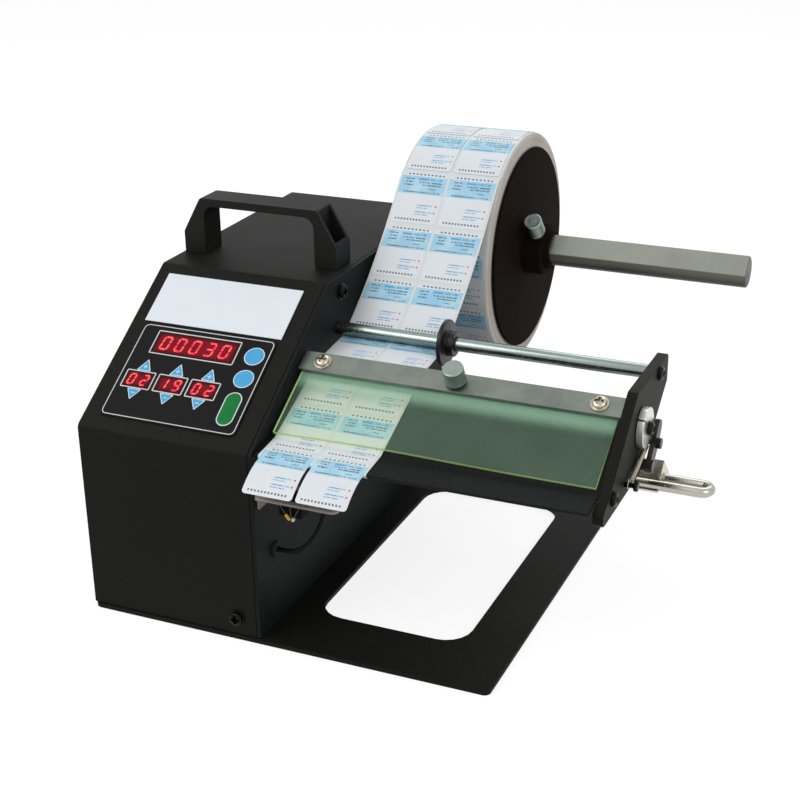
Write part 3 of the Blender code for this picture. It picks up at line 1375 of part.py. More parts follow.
def web_line():
    """Outer side of the paper's path, from the supply roll round the nose to the liner reel."""
    left = GAP + PAPER
    under = ROD_RADIUS + GAP
    over = DRIVE_RADIUS + left
    rod_end, drive_start = run_between(ROD, -under, DRIVE, over)
    table = offset_line([from_nose(PEEL_SHEET / 2, 0), TABLE_BEND, TABLE_REAR], left)
    drive_end, rear = run_between(DRIVE, over, table[2], 0)
    line = sagging_run(SPINDLE, ROLL_RADIUS + left, ROD, -under, WEB_SAG)
    line += wrap(ROD, line[-1], rod_end, 3)[1:]
    line += wrap(DRIVE, drive_start, drive_end) + [rear, table[1]]
    nose = nose_centre()
    round_nose = PEEL_SHEET / 2 + left
    front = nose - Vector((round_nose, 0))
    nose_end, tie_start = run_between(nose, round_nose, TIE, TIE_RADIUS + left)
    tie_end, below = run_between(TIE, TIE_RADIUS + left, DRIVE, over)
    outward = Vector((math.cos(NIP_ANGLE), -math.sin(NIP_ANGLE)))
    nip = DRIVE + outward * over
    turn = nip + outward * LOOP_RADIUS
    loop_end, reel = run_between(turn, -LOOP_RADIUS, REWIND, liner_bore() + LINER_WALL + left)
    line += wrap(nose, table[0], front) + wrap(nose, front, nose_end)[1:]
    line += [tie_start, tie_end] + wrap(DRIVE, below, nip)
    crest = turn + Vector((0, LOOP_RADIUS))
    line += wrap(turn, nip, crest)[1:] + wrap(turn, crest, loop_end, 6)[1:] + [reel]
    return line


def label_web():
    """Labels on their liner, and the bare liner after the nose, as one thin sheet."""
    slab("label_web", ribbon(web_line(), PAPER), WEB_WIDTH, PAPER_WHITE, at=(WEB_LEFT, 0, 0))


def peeled_labels():
    """Two labels side by side that have left the liner and droop from the nose."""
    lift = 2 * GAP + PAPER
    start = from_nose(PEEL_SHEET / 2, lift)
    shares = np.linspace(0, 1, 9)
    under = [start - Vector((LABEL_OUT * s, LABEL_DROOP * s * s)) for s in shares]
    outline = under + offset_line(under, -PAPER)[::-1]
    for name, x in (("peeled_label_left", WEB_LEFT + LABEL_EDGE),
                    ("peeled_label_right", WEB_RIGHT - LABEL_EDGE - LABEL_WIDTH)):
        label = slab(name, outline, LABEL_WIDTH, PAPER_WHITE, at=(x, 0, 0))
        mask = rectangle(x, start.x - LABEL_OUT, LABEL_WIDTH, LABEL_OUT + LABEL_CORNER, LABEL_CORNER)
        combine(label, slab("mask", mask, 2 * LABEL_OUT, PAPER_WHITE,
                            at=(0, 0, start.y - LABEL_OUT), axis="z"), "INTERSECT")


# Label sensor

def shelf_top():
    """Height of the sensor shelf's upper face."""
    return NOSE.y - SHELF_DROP


def slot_middle():
    """Y of the middle of the slot in the sensor shelf."""
    return NOSE.x - SHELF_FRONT + SLOT_FRONT + SLOT_WIDE / 2


def sensor_shelf():
    """Angle bracket on the side plate, with a slot along which the sensor is set."""
    low = shelf_top() - SHELF_THICK
    left = SIDE_FACE + GAP
    front = NOSE.x - SHELF_FRONT
    back = front + SHELF_DEEP
    right = left + SHELF_LENGTH
    near = NOSE.x + COVER_SHEET
    outline = rounded([(left + SHELF_LEAD, front), (right, front), (right - SHELF_TAPER, back), (left, back),
                       (left, near)], [0, SHELF_CORNER, SHELF_CORNER, 0, 0])
    slot = rectangle(left + SLOT_START, front + SLOT_FRONT, SLOT_LENGTH, SLOT_WIDE)
    shelf = slab("sensor_shelf", outline, SHELF_THICK, GREY_PAINT, at=(0, 0, low), axis="z", holes=[slot])
    join(shelf, box("tab", (SHELF_THICK, back - near, SHELF_TAB), GREY_PAINT,
                    at=(left, near, low + SHELF_THICK - SHELF_TAB)))


def sensor_head():
    """Sensor below the shelf, its neck in the slot and its lens plate above."""
    left = SIDE_FACE + SENSOR_START
    front = slot_middle() - SENSOR_WIDE / 2
    low = shelf_top() - SHELF_THICK - GAP - SENSOR_TALL
    head = box("sensor_head", (SENSOR_LENGTH, SENSOR_WIDE, SENSOR_TALL), PLASTIC, at=(left, front, low))
    neck = (SENSOR_LENGTH - 2 * SLOT_WALL, SENSOR_NECK, SHELF_THICK + 2 * GAP + SENSOR_LENS)
    join(head, box("neck", neck, PLASTIC, at=(left + SLOT_WALL, slot_middle() - SENSOR_NECK / 2,
                                              low + SENSOR_TALL - GAP)))
    join(head, box("lens", (SENSOR_LENGTH, SENSOR_WIDE, SENSOR_LENS), PLASTIC,
                   at=(left, front, shelf_top() + GAP)))


def sensor_lead():
    """Lead from the back of the sensor, in one smooth sweep, through the side plate's grommet.

    A cubic Bezier: P(t) = (1-t)^3 A + 3 (1-t)^2 t B + 3 (1-t) t^2 C + t^3 D.
    """
    left = SIDE_FACE + SENSOR_START
    back = slot_middle() + SENSOR_WIDE / 2
    low = shelf_top() - SHELF_THICK - GAP - SENSOR_TALL / 2
    a = Vector((left + SENSOR_LENGTH / 2, back + GAP, low))
    d = Vector((SIDE_FACE + LEAD_STRAIGHT, GROMMET_BACK, GROMMET_HEIGHT))
    b = a + Vector((0, LEAD_SWEEP, 0))
    c = d + Vector((LEAD_SIDE, 0, 0))
    points = []
    for t in np.linspace(0, 1, LEAD_STEPS):
        rest = 1 - t
        points.append(a * rest ** 3 + b * (3 * rest * rest * t) + c * (3 * rest * t * t) + d * t ** 3)
    points.append(Vector((SIDE_LOW - LEAD_STRAIGHT, GROMMET_BACK, GROMMET_HEIGHT)))
    wire("sensor_lead", points, LEAD_RADIUS, PLASTIC)


def grommet():
    """Rubber ring that lines the hole in the side plate."""
    lip = GROMMET_THICK
    groove = SIDE_THICK + 2 * GAP
    bore = LEAD_RADIUS + GAP
    neck = GROMMET_RADIUS - GROMMET_THICK / 2 - FIT
    profile = [(0, bore), (0, GROMMET_RADIUS), (lip, GROMMET_RADIUS), (lip, neck), (lip + groove, neck),
               (lip + groove, GROMMET_RADIUS), (2 * lip + groove, GROMMET_RADIUS),
               (2 * lip + groove, bore)]
    turned("grommet", profile, RUBBER, (SIDE_LOW - GAP - lip, GROMMET_BACK, GROMMET_HEIGHT), SMALL_ROUND)


def build():
    for old in list(bpy.data.objects):
        bpy.data.objects.remove(old)
    panel = panel_frame()
    bpy.context.view_layer.update()
    base_plate()
    control_cover(panel)
    inner_side_plate()
    box_screws()
    carry_handle()
    panel_pieces(panel)
    control_board()
    power_entry()
    power_rocker()
    gear_motor()
    motor_bracket()
    drive_pulley()
    rewind_pulley()
    rewind_belt()
    outer_side_plate()
    head_rods()
    peel_plate()
    clamp_stack()
    strip_fasteners()
    guide_collar()
    drive_roller()
    shaft_collar()
    pinch_yoke()
    pinch_roller()
    release_lever()
    lower_spring_post()
    tension_spring()
    rewind_shaft()
    u_clip()
    liner_roll()
    supply_spindle()
    spindle_housing()
    inner_flange()
    label_roll()
    outer_flange()
    label_web()
    peeled_labels()
    sensor_shelf()
    sensor_head()
    sensor_lead()
    grommet()
    dispenser = bpy.data.objects.new("dispenser", None)
    dispenser.location = (-(SIDE_LOW + SIDE_FACE) / 2, -BASE_DEPTH / 2, 0)
    bpy.context.scene.collection.objects.link(dispenser)
    for piece in bpy.context.scene.objects:
        if piece.parent is None and piece != dispenser:
            piece.parent = dispenser


build()
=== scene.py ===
import json
import math
import bmesh
import bpy
import numpy as np
from mathutils import Matrix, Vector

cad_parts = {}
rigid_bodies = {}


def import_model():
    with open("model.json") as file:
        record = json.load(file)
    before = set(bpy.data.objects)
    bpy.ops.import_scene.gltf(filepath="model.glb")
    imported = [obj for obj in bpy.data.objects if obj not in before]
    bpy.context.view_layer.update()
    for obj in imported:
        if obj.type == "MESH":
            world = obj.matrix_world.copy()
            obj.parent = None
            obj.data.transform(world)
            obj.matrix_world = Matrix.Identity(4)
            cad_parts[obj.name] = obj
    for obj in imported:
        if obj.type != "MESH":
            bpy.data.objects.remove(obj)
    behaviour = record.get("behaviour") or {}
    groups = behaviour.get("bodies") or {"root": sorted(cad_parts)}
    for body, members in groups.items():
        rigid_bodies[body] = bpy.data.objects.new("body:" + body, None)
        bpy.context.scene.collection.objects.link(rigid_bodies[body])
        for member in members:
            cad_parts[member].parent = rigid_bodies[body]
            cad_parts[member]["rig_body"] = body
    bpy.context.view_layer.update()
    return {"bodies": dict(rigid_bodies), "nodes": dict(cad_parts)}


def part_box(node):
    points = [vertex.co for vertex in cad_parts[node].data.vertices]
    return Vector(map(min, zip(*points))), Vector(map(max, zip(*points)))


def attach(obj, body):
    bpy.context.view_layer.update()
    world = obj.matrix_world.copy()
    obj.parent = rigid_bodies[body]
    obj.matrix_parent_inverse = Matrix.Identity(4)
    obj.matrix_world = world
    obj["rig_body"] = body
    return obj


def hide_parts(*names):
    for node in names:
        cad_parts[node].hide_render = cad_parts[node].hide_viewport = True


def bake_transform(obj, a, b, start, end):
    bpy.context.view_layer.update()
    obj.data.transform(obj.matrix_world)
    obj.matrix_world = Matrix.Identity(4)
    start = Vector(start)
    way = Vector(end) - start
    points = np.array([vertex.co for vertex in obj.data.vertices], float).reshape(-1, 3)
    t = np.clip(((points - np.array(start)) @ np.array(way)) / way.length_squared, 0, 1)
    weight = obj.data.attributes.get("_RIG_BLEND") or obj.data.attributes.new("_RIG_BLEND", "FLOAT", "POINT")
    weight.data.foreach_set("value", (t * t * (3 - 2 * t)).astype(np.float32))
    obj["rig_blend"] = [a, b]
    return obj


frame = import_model()
kept = set(frame["nodes"].values()) | set(frame["bodies"].values())
for thing in list(bpy.data.objects):
    if thing not in kept:
        bpy.data.objects.remove(thing)
bpy.context.scene.view_settings.view_transform = "Standard"
print("model read:", len(frame["nodes"]), "nodes")

# Lengths here are millimetres, x right, y back and z up from the base plate's front left corner
plateCorner = np.array((0.1126, 0.1415, 0.0))
mapUnit = 40.0  # millimetres in one unit of a piece's own map


def world(points):
    # millimetres from that corner to the model's metres: p / 1000 - corner
    return np.asarray(points, float) / 1000 - plateCorner


def span(node):
    # lowest and highest corner of a node in millimetres
    low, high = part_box(node)
    return (np.array(low) + plateCorner) * 1000, (np.array(high) + plateCorner) * 1000


def ink(red, green, blue):
    # a screen colour, 0 to 255, as the linear colour that a shader takes
    shares = np.array((red, green, blue)) / 255
    return tuple(np.where(shares > 0.04045, ((shares + 0.055) / 1.055) ** 2.4, shares / 12.92))


def shade(tone, share):
    # such a colour, lighter or darker by a share
    return tuple(share * c for c in ink(*tone))


# Camera, lamps and floor
camera = {"place": (498.328, -665.469, 479.273), "yaw": 23.816, "pitch": 23.12, "roll": -0.838,
          "lens": 69.014}


def aimCamera(view):
    # turned left by yaw, tipped down by pitch, then rolled about its own line of sight
    yaw, pitch, roll = np.radians((view["yaw"], view["pitch"], view["roll"]))
    ahead = np.array((-np.sin(yaw) * np.cos(pitch), np.cos(yaw) * np.cos(pitch), -np.sin(pitch)))
    right = np.array((np.cos(yaw), np.sin(yaw), 0.0))
    above = np.cross(right, ahead)
    place = np.eye(4)
    place[:3, 0] = right * np.cos(roll) + above * np.sin(roll)
    place[:3, 1] = above * np.cos(roll) - right * np.sin(roll)
    place[:3, 2] = -ahead
    place[:3, 3] = world(view["place"])
    eye = bpy.data.objects.new("camera", bpy.data.cameras.new("camera"))
    eye.data.lens = view["lens"]
    eye.data.sensor_width = 36
    bpy.context.scene.collection.objects.link(eye)
    eye.matrix_world = Matrix(place.tolist())
    bpy.context.scene.camera = eye


lamps = {
    "keyLamp": {"place": (-700, -900, 1350), "side": 1100, "watts": 13.0},
    "fillLamp": {"place": (1300, -500, 900), "side": 900, "watts": 4.0},
    "backLamp": {"place": (200, 1300, 1300), "side": 900, "watts": 5.0},
}
lampTarget = (130, 130, 110)  # the middle of the machine
ambient = 0.55  # the world's strength for all but camera, glossy and see-through rays


def hangLamp(name, lamp):
    # a square soft box that faces its target
    light = bpy.data.lights.new(name, "AREA")
    light.shape = "SQUARE"
    light.size = lamp["side"] / 1000
    light.energy = lamp["watts"]
    box = bpy.data.objects.new(name, light)
    bpy.context.scene.collection.objects.link(box)
    away = np.array(lamp["place"], float) - lampTarget
    away /= np.linalg.norm(away)
    side = np.cross((0, 0, 1), away)
    side /= np.linalg.norm(side)
    place = np.eye(4)
    place[:3, 0], place[:3, 1], place[:3, 2] = side, np.cross(away, side), away
    place[:3, 3] = world(lamp["place"])
    box.matrix_world = Matrix(place.tolist())


class Value:
    # wraps a socket, so that + - * and > on it add Math nodes
    def __init__(self, look, socket):
        self.look = look
        self.socket = socket

    def __add__(self, other):
        return self.look.maths("ADD", self, other)

    def __sub__(self, other):
        return self.look.maths("SUBTRACT", self, other)

    def __rsub__(self, other):
        return self.look.maths("SUBTRACT", other, self)

    def __mul__(self, other):
        return self.look.maths("MULTIPLY", self, other)

    def __gt__(self, other):
        return self.look.maths("GREATER_THAN", self, other)

    __radd__ = __add__
    __rmul__ = __mul__


class Look:
    # one material under way
    def __init__(self, name, slot, tree=None):
        if tree is None:
            self.material = bpy.data.materials.new(name)
            self.material.use_nodes = True
            tree = self.material.node_tree
        self.tree = tree
        self.tree.nodes.clear()
        self.slot = slot

    def node(self, kind, settings=None, sockets=None, out=0):
        # the one way in for any node: its settings first, then values or links for its sockets
        made = self.tree.nodes.new("ShaderNode" + kind)
        for key, value in (settings or {}).items():
            if key != "stops":
                setattr(made, key, value)
                continue
            elements = made.color_ramp.elements
            while len(elements) < len(value):
                elements.new(1.0)
            for element, (position, colour) in zip(elements, value):
                element.position = position
                element.color = (*colour, 1.0)
        for key, value in (sockets or {}).items():
            socket = made.inputs[key]
            if isinstance(value, Value):
                self.tree.links.new(value.socket, socket)
            elif socket.type == "RGBA" and len(value) == 3:
                socket.default_value = (*value, 1.0)
            else:
                socket.default_value = value
        return Value(self, made.outputs[out])

    def maths(self, operation, first, second=0.0):
        return self.node("Math", {"operation": operation}, {0: first, 1: second})

    def place(self):
        return self.node("TexCoord", out="Object")

    def sheetPlace(self):
        # the piece's own map, in millimetres across and along
        across = self.parts(self.node("TexCoord", out="UV"))
        return across[0] * mapUnit, across[1] * mapUnit

    def parts(self, vector):
        made = self.node("SeparateXYZ", None, {0: vector})
        outputs = made.socket.node.outputs
        return [Value(self, outputs[i]) for i in range(3)]

    def scaled(self, vector, factors):
        return self.node("VectorMath", {"operation": "MULTIPLY"}, {0: vector, 1: factors})

    def noise(self, scale, detail=2.0, rough=0.5, stretch=None):
        source = self.scaled(self.place(), stretch) if stretch else self.place()
        return self.node("TexNoise", None, {"Vector": source, "Scale": scale, "Detail": detail,
                                            "Roughness": rough})

    def ramp(self, value, low, high):
        # 0 below low, 1 above high, smooth between
        return self.node("MapRange", {"interpolation_type": "SMOOTHSTEP"},
                         {"Value": value, "From Min": low, "From Max": high})

    def between(self, value, low, high, soft=0.08):
        fall = 1 - self.ramp(value, high - soft, high + soft)
        return self.ramp(value, low - soft, low + soft) * fall

    def blend(self, share, first, second):
        return self.node("Mix", {"data_type": "RGBA"}, {0: share, 6: first, 7: second}, 2)

    def fromAxis(self, centre):
        # distance in millimetres from a line along x through a point of the side view
        middle = world((0, *centre))
        away = self.node("VectorMath", {"operation": "SUBTRACT"}, {0: self.place(), 1: tuple(middle)})
        flat = self.scaled(away, (0, 1000, 1000))
        return self.node("VectorMath", {"operation": "LENGTH"}, {0: flat}, "Value")

    def finish(self, sockets, height=None, depth=0.0001, strength=0.5):
        # Principled shader with these values, and a bump from height where there is one
        if height is not None:
            sockets["Normal"] = self.node("Bump", None, {"Strength": strength, "Distance": depth,
                                                         "Height": height})
        return self.close(self.node("BsdfPrincipled", None, sockets))

    def close(self, shader):
        output = self.tree.nodes.new("ShaderNodeOutputMaterial")
        self.tree.links.new(shader.socket, output.inputs["Surface"])
        return self

    def seenShare(self):
        # 1 for the rays that show the background: those of the camera, of mirrors and of clear things
        path = self.node("LightPath", out="Is Camera Ray")
        others = path.socket.node.outputs
        seen = self.maths("MAXIMUM", path, Value(self, others["Is Glossy Ray"]))
        return self.maths("MAXIMUM", seen, Value(self, others["Is Transmission Ray"]))


def lightWorld():
    # white to the camera and to mirrors, and a plain level of light on all else
    sky = bpy.data.worlds.new("studio")
    sky.use_nodes = True
    bpy.context.scene.world = sky
    look = Look("studio", None, sky.node_tree)
    strength = look.seenShare() * (1 - ambient) + ambient
    backdrop = look.node("Background", None, {"Color": (1.0, 1.0, 1.0), "Strength": strength})
    output = look.tree.nodes.new("ShaderNodeOutputWorld")
    look.tree.links.new(backdrop.socket, output.inputs["Surface"])


floorLook = {"reach": 14000, "drop": 0.3, "shadowShare": 0.27, "ownLight": 0.82, "bounce": 0.5}


def layFloor():
    # the camera sees mostly white of its own with the shadow in the rest; other rays see a pale sheet
    ends = np.linspace(-floorLook["reach"], floorLook["reach"], 3)
    x, y = np.meshgrid(ends, ends, indexing="ij")
    floor = surface("floor", np.stack((x, y, np.full_like(x, -floorLook["drop"])), -1))
    look = Look("floorPaper", None)
    seen = look.seenShare()
    shadow = look.node("BsdfDiffuse", None, {"Color": (floorLook["shadowShare"],) * 3})
    lit = look.node("Emission", None, {"Color": (1.0, 1.0, 1.0), "Strength": floorLook["ownLight"]})
    pale = look.node("AddShader", None, {0: shadow, 1: lit})
    plain = look.node("BsdfDiffuse", None, {"Color": (floorLook["bounce"],) * 3})
    look.close(look.node("MixShader", None, {0: seen, 1: plain, 2: pale}))
    floor.data.materials.append(look.material)


# Makers of meshes; distances are metres and angles are degrees
weld = {"points": 2e-6, "specks": 1e-7, "solids": 3e-6, "flat": 0.8, "crease": 30, "bevel": 32}


def build(name, points, faces, corners=None, slots=None, smooth=35):
    # points in millimetres, faces as point numbers, corners as one map place for each corner of each face
    mesh = bpy.data.meshes.new(name)
    mesh.from_pydata(world(points).tolist(), [], [list(face) for face in faces])
    if corners is not None:
        layer = mesh.uv_layers.new(name="UVMap")
        layer.data.foreach_set("uv", np.asarray(corners, np.float32).ravel())
    if slots is not None:
        mesh.polygons.foreach_set("material_index", np.asarray(slots, np.int32))
    work = bmesh.new()
    work.from_mesh(mesh)
    bmesh.ops.remove_doubles(work, verts=work.verts, dist=weld["points"])
    bmesh.ops.dissolve_degenerate(work, edges=work.edges, dist=weld["specks"])
    bmesh.ops.recalc_face_normals(work, faces=work.faces)
    return shown(name, mesh, work, smooth)


def shown(name, mesh, work, smooth):
    # the worked mesh as an object, smooth but for its creases
    work.to_mesh(mesh)
    work.free()
    mesh.shade_smooth()
    mesh.set_sharp_from_angle(angle=math.radians(smooth))
    piece = bpy.data.objects.new(name, mesh)
    bpy.context.scene.collection.objects.link(piece)
    return piece


def grid(rows, columns, wrapRows=False, wrapColumns=False):
    # point numbers of each quad of a grid, and the row and column of its corners before they wrap
    i, j = np.meshgrid(np.arange(rows - 1 + wrapRows), np.arange(columns - 1 + wrapColumns), indexing="ij")
    i = i.ravel()[:, None] + np.array((0, 1, 1, 0))
    j = j.ravel()[:, None] + np.array((0, 0, 1, 1))
    return (i % rows) * columns + j % columns, i, j


def surface(name, points, wrapRows=False, wrapColumns=False, chart=None, smooth=35):
    # a surface on a grid of points; chart is its map on the same grid, one longer where it wraps
    rows, columns = points.shape[:2]
    quads, i, j = grid(rows, columns, wrapRows, wrapColumns)
    corners = None if chart is None else chart[i, j].reshape(-1, 2)
    return build(name, points.reshape(-1, 3), quads, corners, smooth=smooth)


def shellParts(top, bottom, chart):
    # points, faces, map and slots of two matching grids a wall apart, closed round the rim
    rows, columns = top.shape[:2]
    quads = grid(rows, columns)[0]
    count = rows * columns
    index = np.arange(count).reshape(rows, columns)
    rim = np.concatenate((index[0, :-1], index[:-1, -1], index[-1, :0:-1], index[:0:-1, 0]))
    after = np.roll(rim, -1)
    sides = np.stack((rim, after, after + count, rim + count), 1)
    faces = np.concatenate((quads, quads[:, ::-1] + count, sides))
    points = np.concatenate((top.reshape(-1, 3), bottom.reshape(-1, 3)))
    slots = np.repeat((0, 1), (2 * len(quads), len(sides)))
    corners = np.concatenate((chart.reshape(-1, 2),) * 2)[faces]
    return points, faces, corners, slots


def shell(name, tops, bottoms, charts, rimSlot=0):
    # one or more such shells in one piece
    made = [shellParts(*parts) for parts in zip(tops, bottoms, charts)]
    starts = np.cumsum([0] + [len(m[0]) for m in made[:-1]])
    points = np.concatenate([m[0] for m in made])
    faces = np.concatenate([m[1] + start for m, start in zip(made, starts)])
    corners = np.concatenate([m[2] for m in made]).reshape(-1, 2)
    return build(name, points, faces, corners, np.concatenate([m[3] for m in made]) * rimSlot)


def eased(profile, radius, steps=4, closed=False):
    # each corner B of a profile becomes B + (1-t)^2 d a + t^2 d c, where a and c point to its neighbours
    profile = np.asarray(profile, float)
    before, after = np.roll(profile, 1, 0) - profile, np.roll(profile, -1, 0) - profile
    long = [np.linalg.norm(part, axis=1, keepdims=True) for part in (before, after)]
    cut = np.minimum(radius, 0.45 * np.minimum(*long))
    if not closed:
        cut[[0, -1]] = 0
    t = np.linspace(0, 1, steps)[None, :, None]
    a, c = before / np.maximum(long[0], 1e-9) * cut, after / np.maximum(long[1], 1e-9) * cut
    return (profile[:, None] + (1 - t) ** 2 * a[:, None] + t ** 2 * c[:, None]).reshape(-1, 2)


def runLengths(path):
    # length of a path up to each of its points
    return np.concatenate(([0], np.cumsum(np.linalg.norm(np.diff(path, axis=0), axis=1))))


def crossed(axis):
    # two directions square to an axis
    axis = np.asarray(axis, float)
    first = np.cross(axis, (0, 0, 1) if abs(axis[2]) < 0.9 else (1, 0, 0))
    first /= np.linalg.norm(first)
    return first, np.cross(axis, first)


def turned(name, profile, centre, axis=(1, 0, 0), sides=96, closed=False, reshape=None, sink=None, smooth=35):
    # P(k, a) = centre + (s - sink) axis + r (cos a e + sin a f), for each (s, r) of the profile; reshape
    # gives another r for an s, an a and an r
    profile = np.asarray(profile, float)
    angle = np.linspace(0, 2 * np.pi, sides, endpoint=False)[None, :]
    s, r = profile[:, 0, None] + 0 * angle, profile[:, 1, None] + 0 * angle
    if reshape is not None:
        r = reshape(s, angle, r)
    if sink is not None:
        s = s - sink(r, angle, profile[:, 0, None])
    first, second = crossed(axis)
    ring = np.cos(angle)[..., None] * first + np.sin(angle)[..., None] * second
    points = np.asarray(centre) + s[..., None] * np.asarray(axis) + r[..., None] * ring
    rows = runLengths(profile)
    if closed:
        rows = np.append(rows, rows[-1] + np.linalg.norm(profile[0] - profile[-1]))
    turns = np.linspace(0, 2 * np.pi, sides + 1) * profile[:, 1].max()
    chart = np.stack(np.meshgrid(rows, turns, indexing="ij"), -1) / mapUnit
    return surface(name, points, closed, True, chart, smooth)


def swept(name, path, radius, ups, around=16, roundEnds=False):
    # P(k, a) = path + radius (cos a side + sin a up), where side is square to the path and its up; an end
    # closes in a point, or in a half ball where it is round
    path, ups = np.asarray(path, float), np.asarray(ups, float)
    along = np.gradient(path, axis=0)
    along /= np.linalg.norm(along, axis=1, keepdims=True)
    side = np.cross(along, ups + 0 * path)
    side /= np.linalg.norm(side, axis=1, keepdims=True)
    turn = np.linspace(0, np.pi / 2, 6)[:-1] if roundEnds else np.zeros(1)
    out = radius * np.cos(turn)[:, None] * roundEnds
    row = np.pad(np.arange(len(path)), len(turn), "edge")
    size = np.pad(np.full(len(path), radius), len(turn)) + radius * np.concatenate((
        np.sin(turn), np.zeros(len(path)), np.sin(turn[::-1])))
    path = np.concatenate((path[0] - along[0] * out, path, path[-1] + along[-1] * out[::-1]))
    side, up = side[row], np.cross(side, along)[row]
    a = np.linspace(0, 2 * np.pi, around, endpoint=False)[None, :, None]
    points = path[:, None] + size[:, None, None] * (np.cos(a) * side[:, None] + np.sin(a) * up[:, None])
    turns = np.linspace(0, 2 * np.pi * radius, around + 1)
    chart = np.stack(np.meshgrid(runLengths(path), turns, indexing="ij"), -1) / mapUnit
    return surface(name, points, False, True, chart)


def dressed(node, look, soft, segments=2):
    # a copy of a node with its doubles merged, its flat faces joined and its edges rounded
    mesh = frame["nodes"][node].data.copy()
    for layer in [a.name for a in mesh.attributes if a.name == "custom_normal"]:
        mesh.attributes.remove(mesh.attributes[layer])
    work = bmesh.new()
    work.from_mesh(mesh)
    bmesh.ops.remove_doubles(work, verts=work.verts, dist=weld["solids"])
    bmesh.ops.dissolve_limit(work, angle_limit=math.radians(weld["flat"]), verts=work.verts, edges=work.edges)
    piece = shown(node + "_piece", mesh, work, weld["crease"])
    bevel = piece.modifiers.new("softEdges", "BEVEL")
    bevel.width = soft / 1000
    bevel.segments = segments
    bevel.limit_method = "ANGLE"
    bevel.angle_limit = math.radians(weld["bevel"])
    bevel.harden_normals = True
    mesh.materials.clear()
    return settle(piece, look, [node])


def settle(piece, looks, nodes=(), body=None):
    # a piece gets its finish and its body; nodes that it stands for go out of sight
    looks = looks if isinstance(looks, list) else [looks]
    for look in looks:
        piece.data.materials.append(look.material)
    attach(piece, body or frame["nodes"][nodes[0]]["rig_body"])
    if nodes:
        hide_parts(*nodes)
    return piece


def paint(node, look):
    # a node that stays, with a finish of its own
    for slot in frame["nodes"][node].material_slots:
        slot.material = look.material


aimCamera(camera)
for lampName, lamp in lamps.items():
    hangLamp(lampName, lamp)
lightWorld()
layFloor()
print("camera, lamps and floor set")


# Finishes
powderTones = {"cover": (19, 20, 18), "side": (17, 20, 20), "base": (17, 18, 16), "outer": (19, 20, 17)}


def powderCoat(name, tone, rough=0.56, shine=0.09, slot="black_paint"):
    # fine orange peel with a sparse grit, and faint clouds in its tone
    look = Look(name, slot)
    clouds = look.noise(24, 4, 0.6)
    grain = look.noise(1500, 2, 0.6)
    grit = look.node("TexVoronoi", {"feature": "F1"}, {"Vector": look.place(), "Scale": 800})
    colour = look.blend(clouds, shade(tone, 0.75), shade(tone, 1.3))
    colour = look.blend(look.ramp(grain, 0.56, 0.72) * 0.4, colour, ink(62, 63, 60))
    return look.finish({"Base Color": colour, "Roughness": clouds * 0.14 + (rough - 0.07),
                        "Specular IOR Level": shine}, grain + grit * 0.6, 0.00016, 0.5)


def mouldedPlastic(name, tone, rough, shine, grain=1600, depth=0.00006):
    # spark-eroded mould skin: close pits, and a slow drift of gloss
    look = Look(name, "black_plastic")
    drift = look.noise(30, 3, 0.5)
    pits = look.noise(grain, 3, 0.6)
    colour = look.blend(drift, shade(tone, 0.8), shade(tone, 1.25))
    return look.finish({"Base Color": colour, "Roughness": rough + 0.12 * drift, "Specular IOR Level": shine},
                       pits, depth, 0.3)


def metal(name, slot, tone, rough, stretch=(1, 1, 1), lines=0.5, scale=900, stain=0.25):
    # drawn or ground metal: fine lines where stretch is unequal, with a slow stain and dull spots
    look = Look(name, slot)
    grain = look.noise(scale, 3, 0.6, stretch)
    stains = look.noise(55, 4, 0.62)
    spots = look.ramp(look.noise(300, 3, 0.6), 0.58, 0.72)
    colour = look.blend(look.ramp(stains, 0.3, 0.7), shade(tone, 1 - stain), ink(*tone))
    colour = look.blend(grain * lines, colour, shade(tone, 0.55))
    roughness = rough + 0.16 * (stains - 0.5) + 0.1 * spots + 0.12 * (grain - 0.5)
    return look.finish({"Base Color": colour, "Roughness": roughness, "Metallic": 1 - 0.25 * spots},
                       grain, 0.00004, 0.25 * lines + 0.05)


def rubberSkin(name, tone):
    # ground rubber: close rings of grinding and a dusty bloom
    look = Look(name, "rubber")
    dust = look.noise(160, 4, 0.6)
    rings = look.noise(900, 2, 0.5, (6, 1, 1))
    colour = look.blend(look.ramp(dust, 0.4, 0.75), ink(*tone), shade(tone, 1.9))
    return look.finish({"Base Color": colour, "Roughness": 0.78 + 0.12 * dust, "Specular IOR Level": 0.3},
                       rings + 0.5 * dust, 0.00012, 0.4)


def paperSkin(name, slot, tone, rough, fibre):
    # paper: short fibres and a slight mottle
    look = Look(name, slot)
    fibres = look.noise(1500, 4, 0.65)
    mottle = look.noise(60, 3, 0.5)
    colour = look.blend(mottle * 0.3 + fibres * 0.3, ink(*tone), shade(tone, 0.88))
    return look.finish({"Base Color": colour, "Roughness": rough + 0.15 * mottle, "Specular IOR Level": 0.35},
                       fibres, 0.00003, fibre)


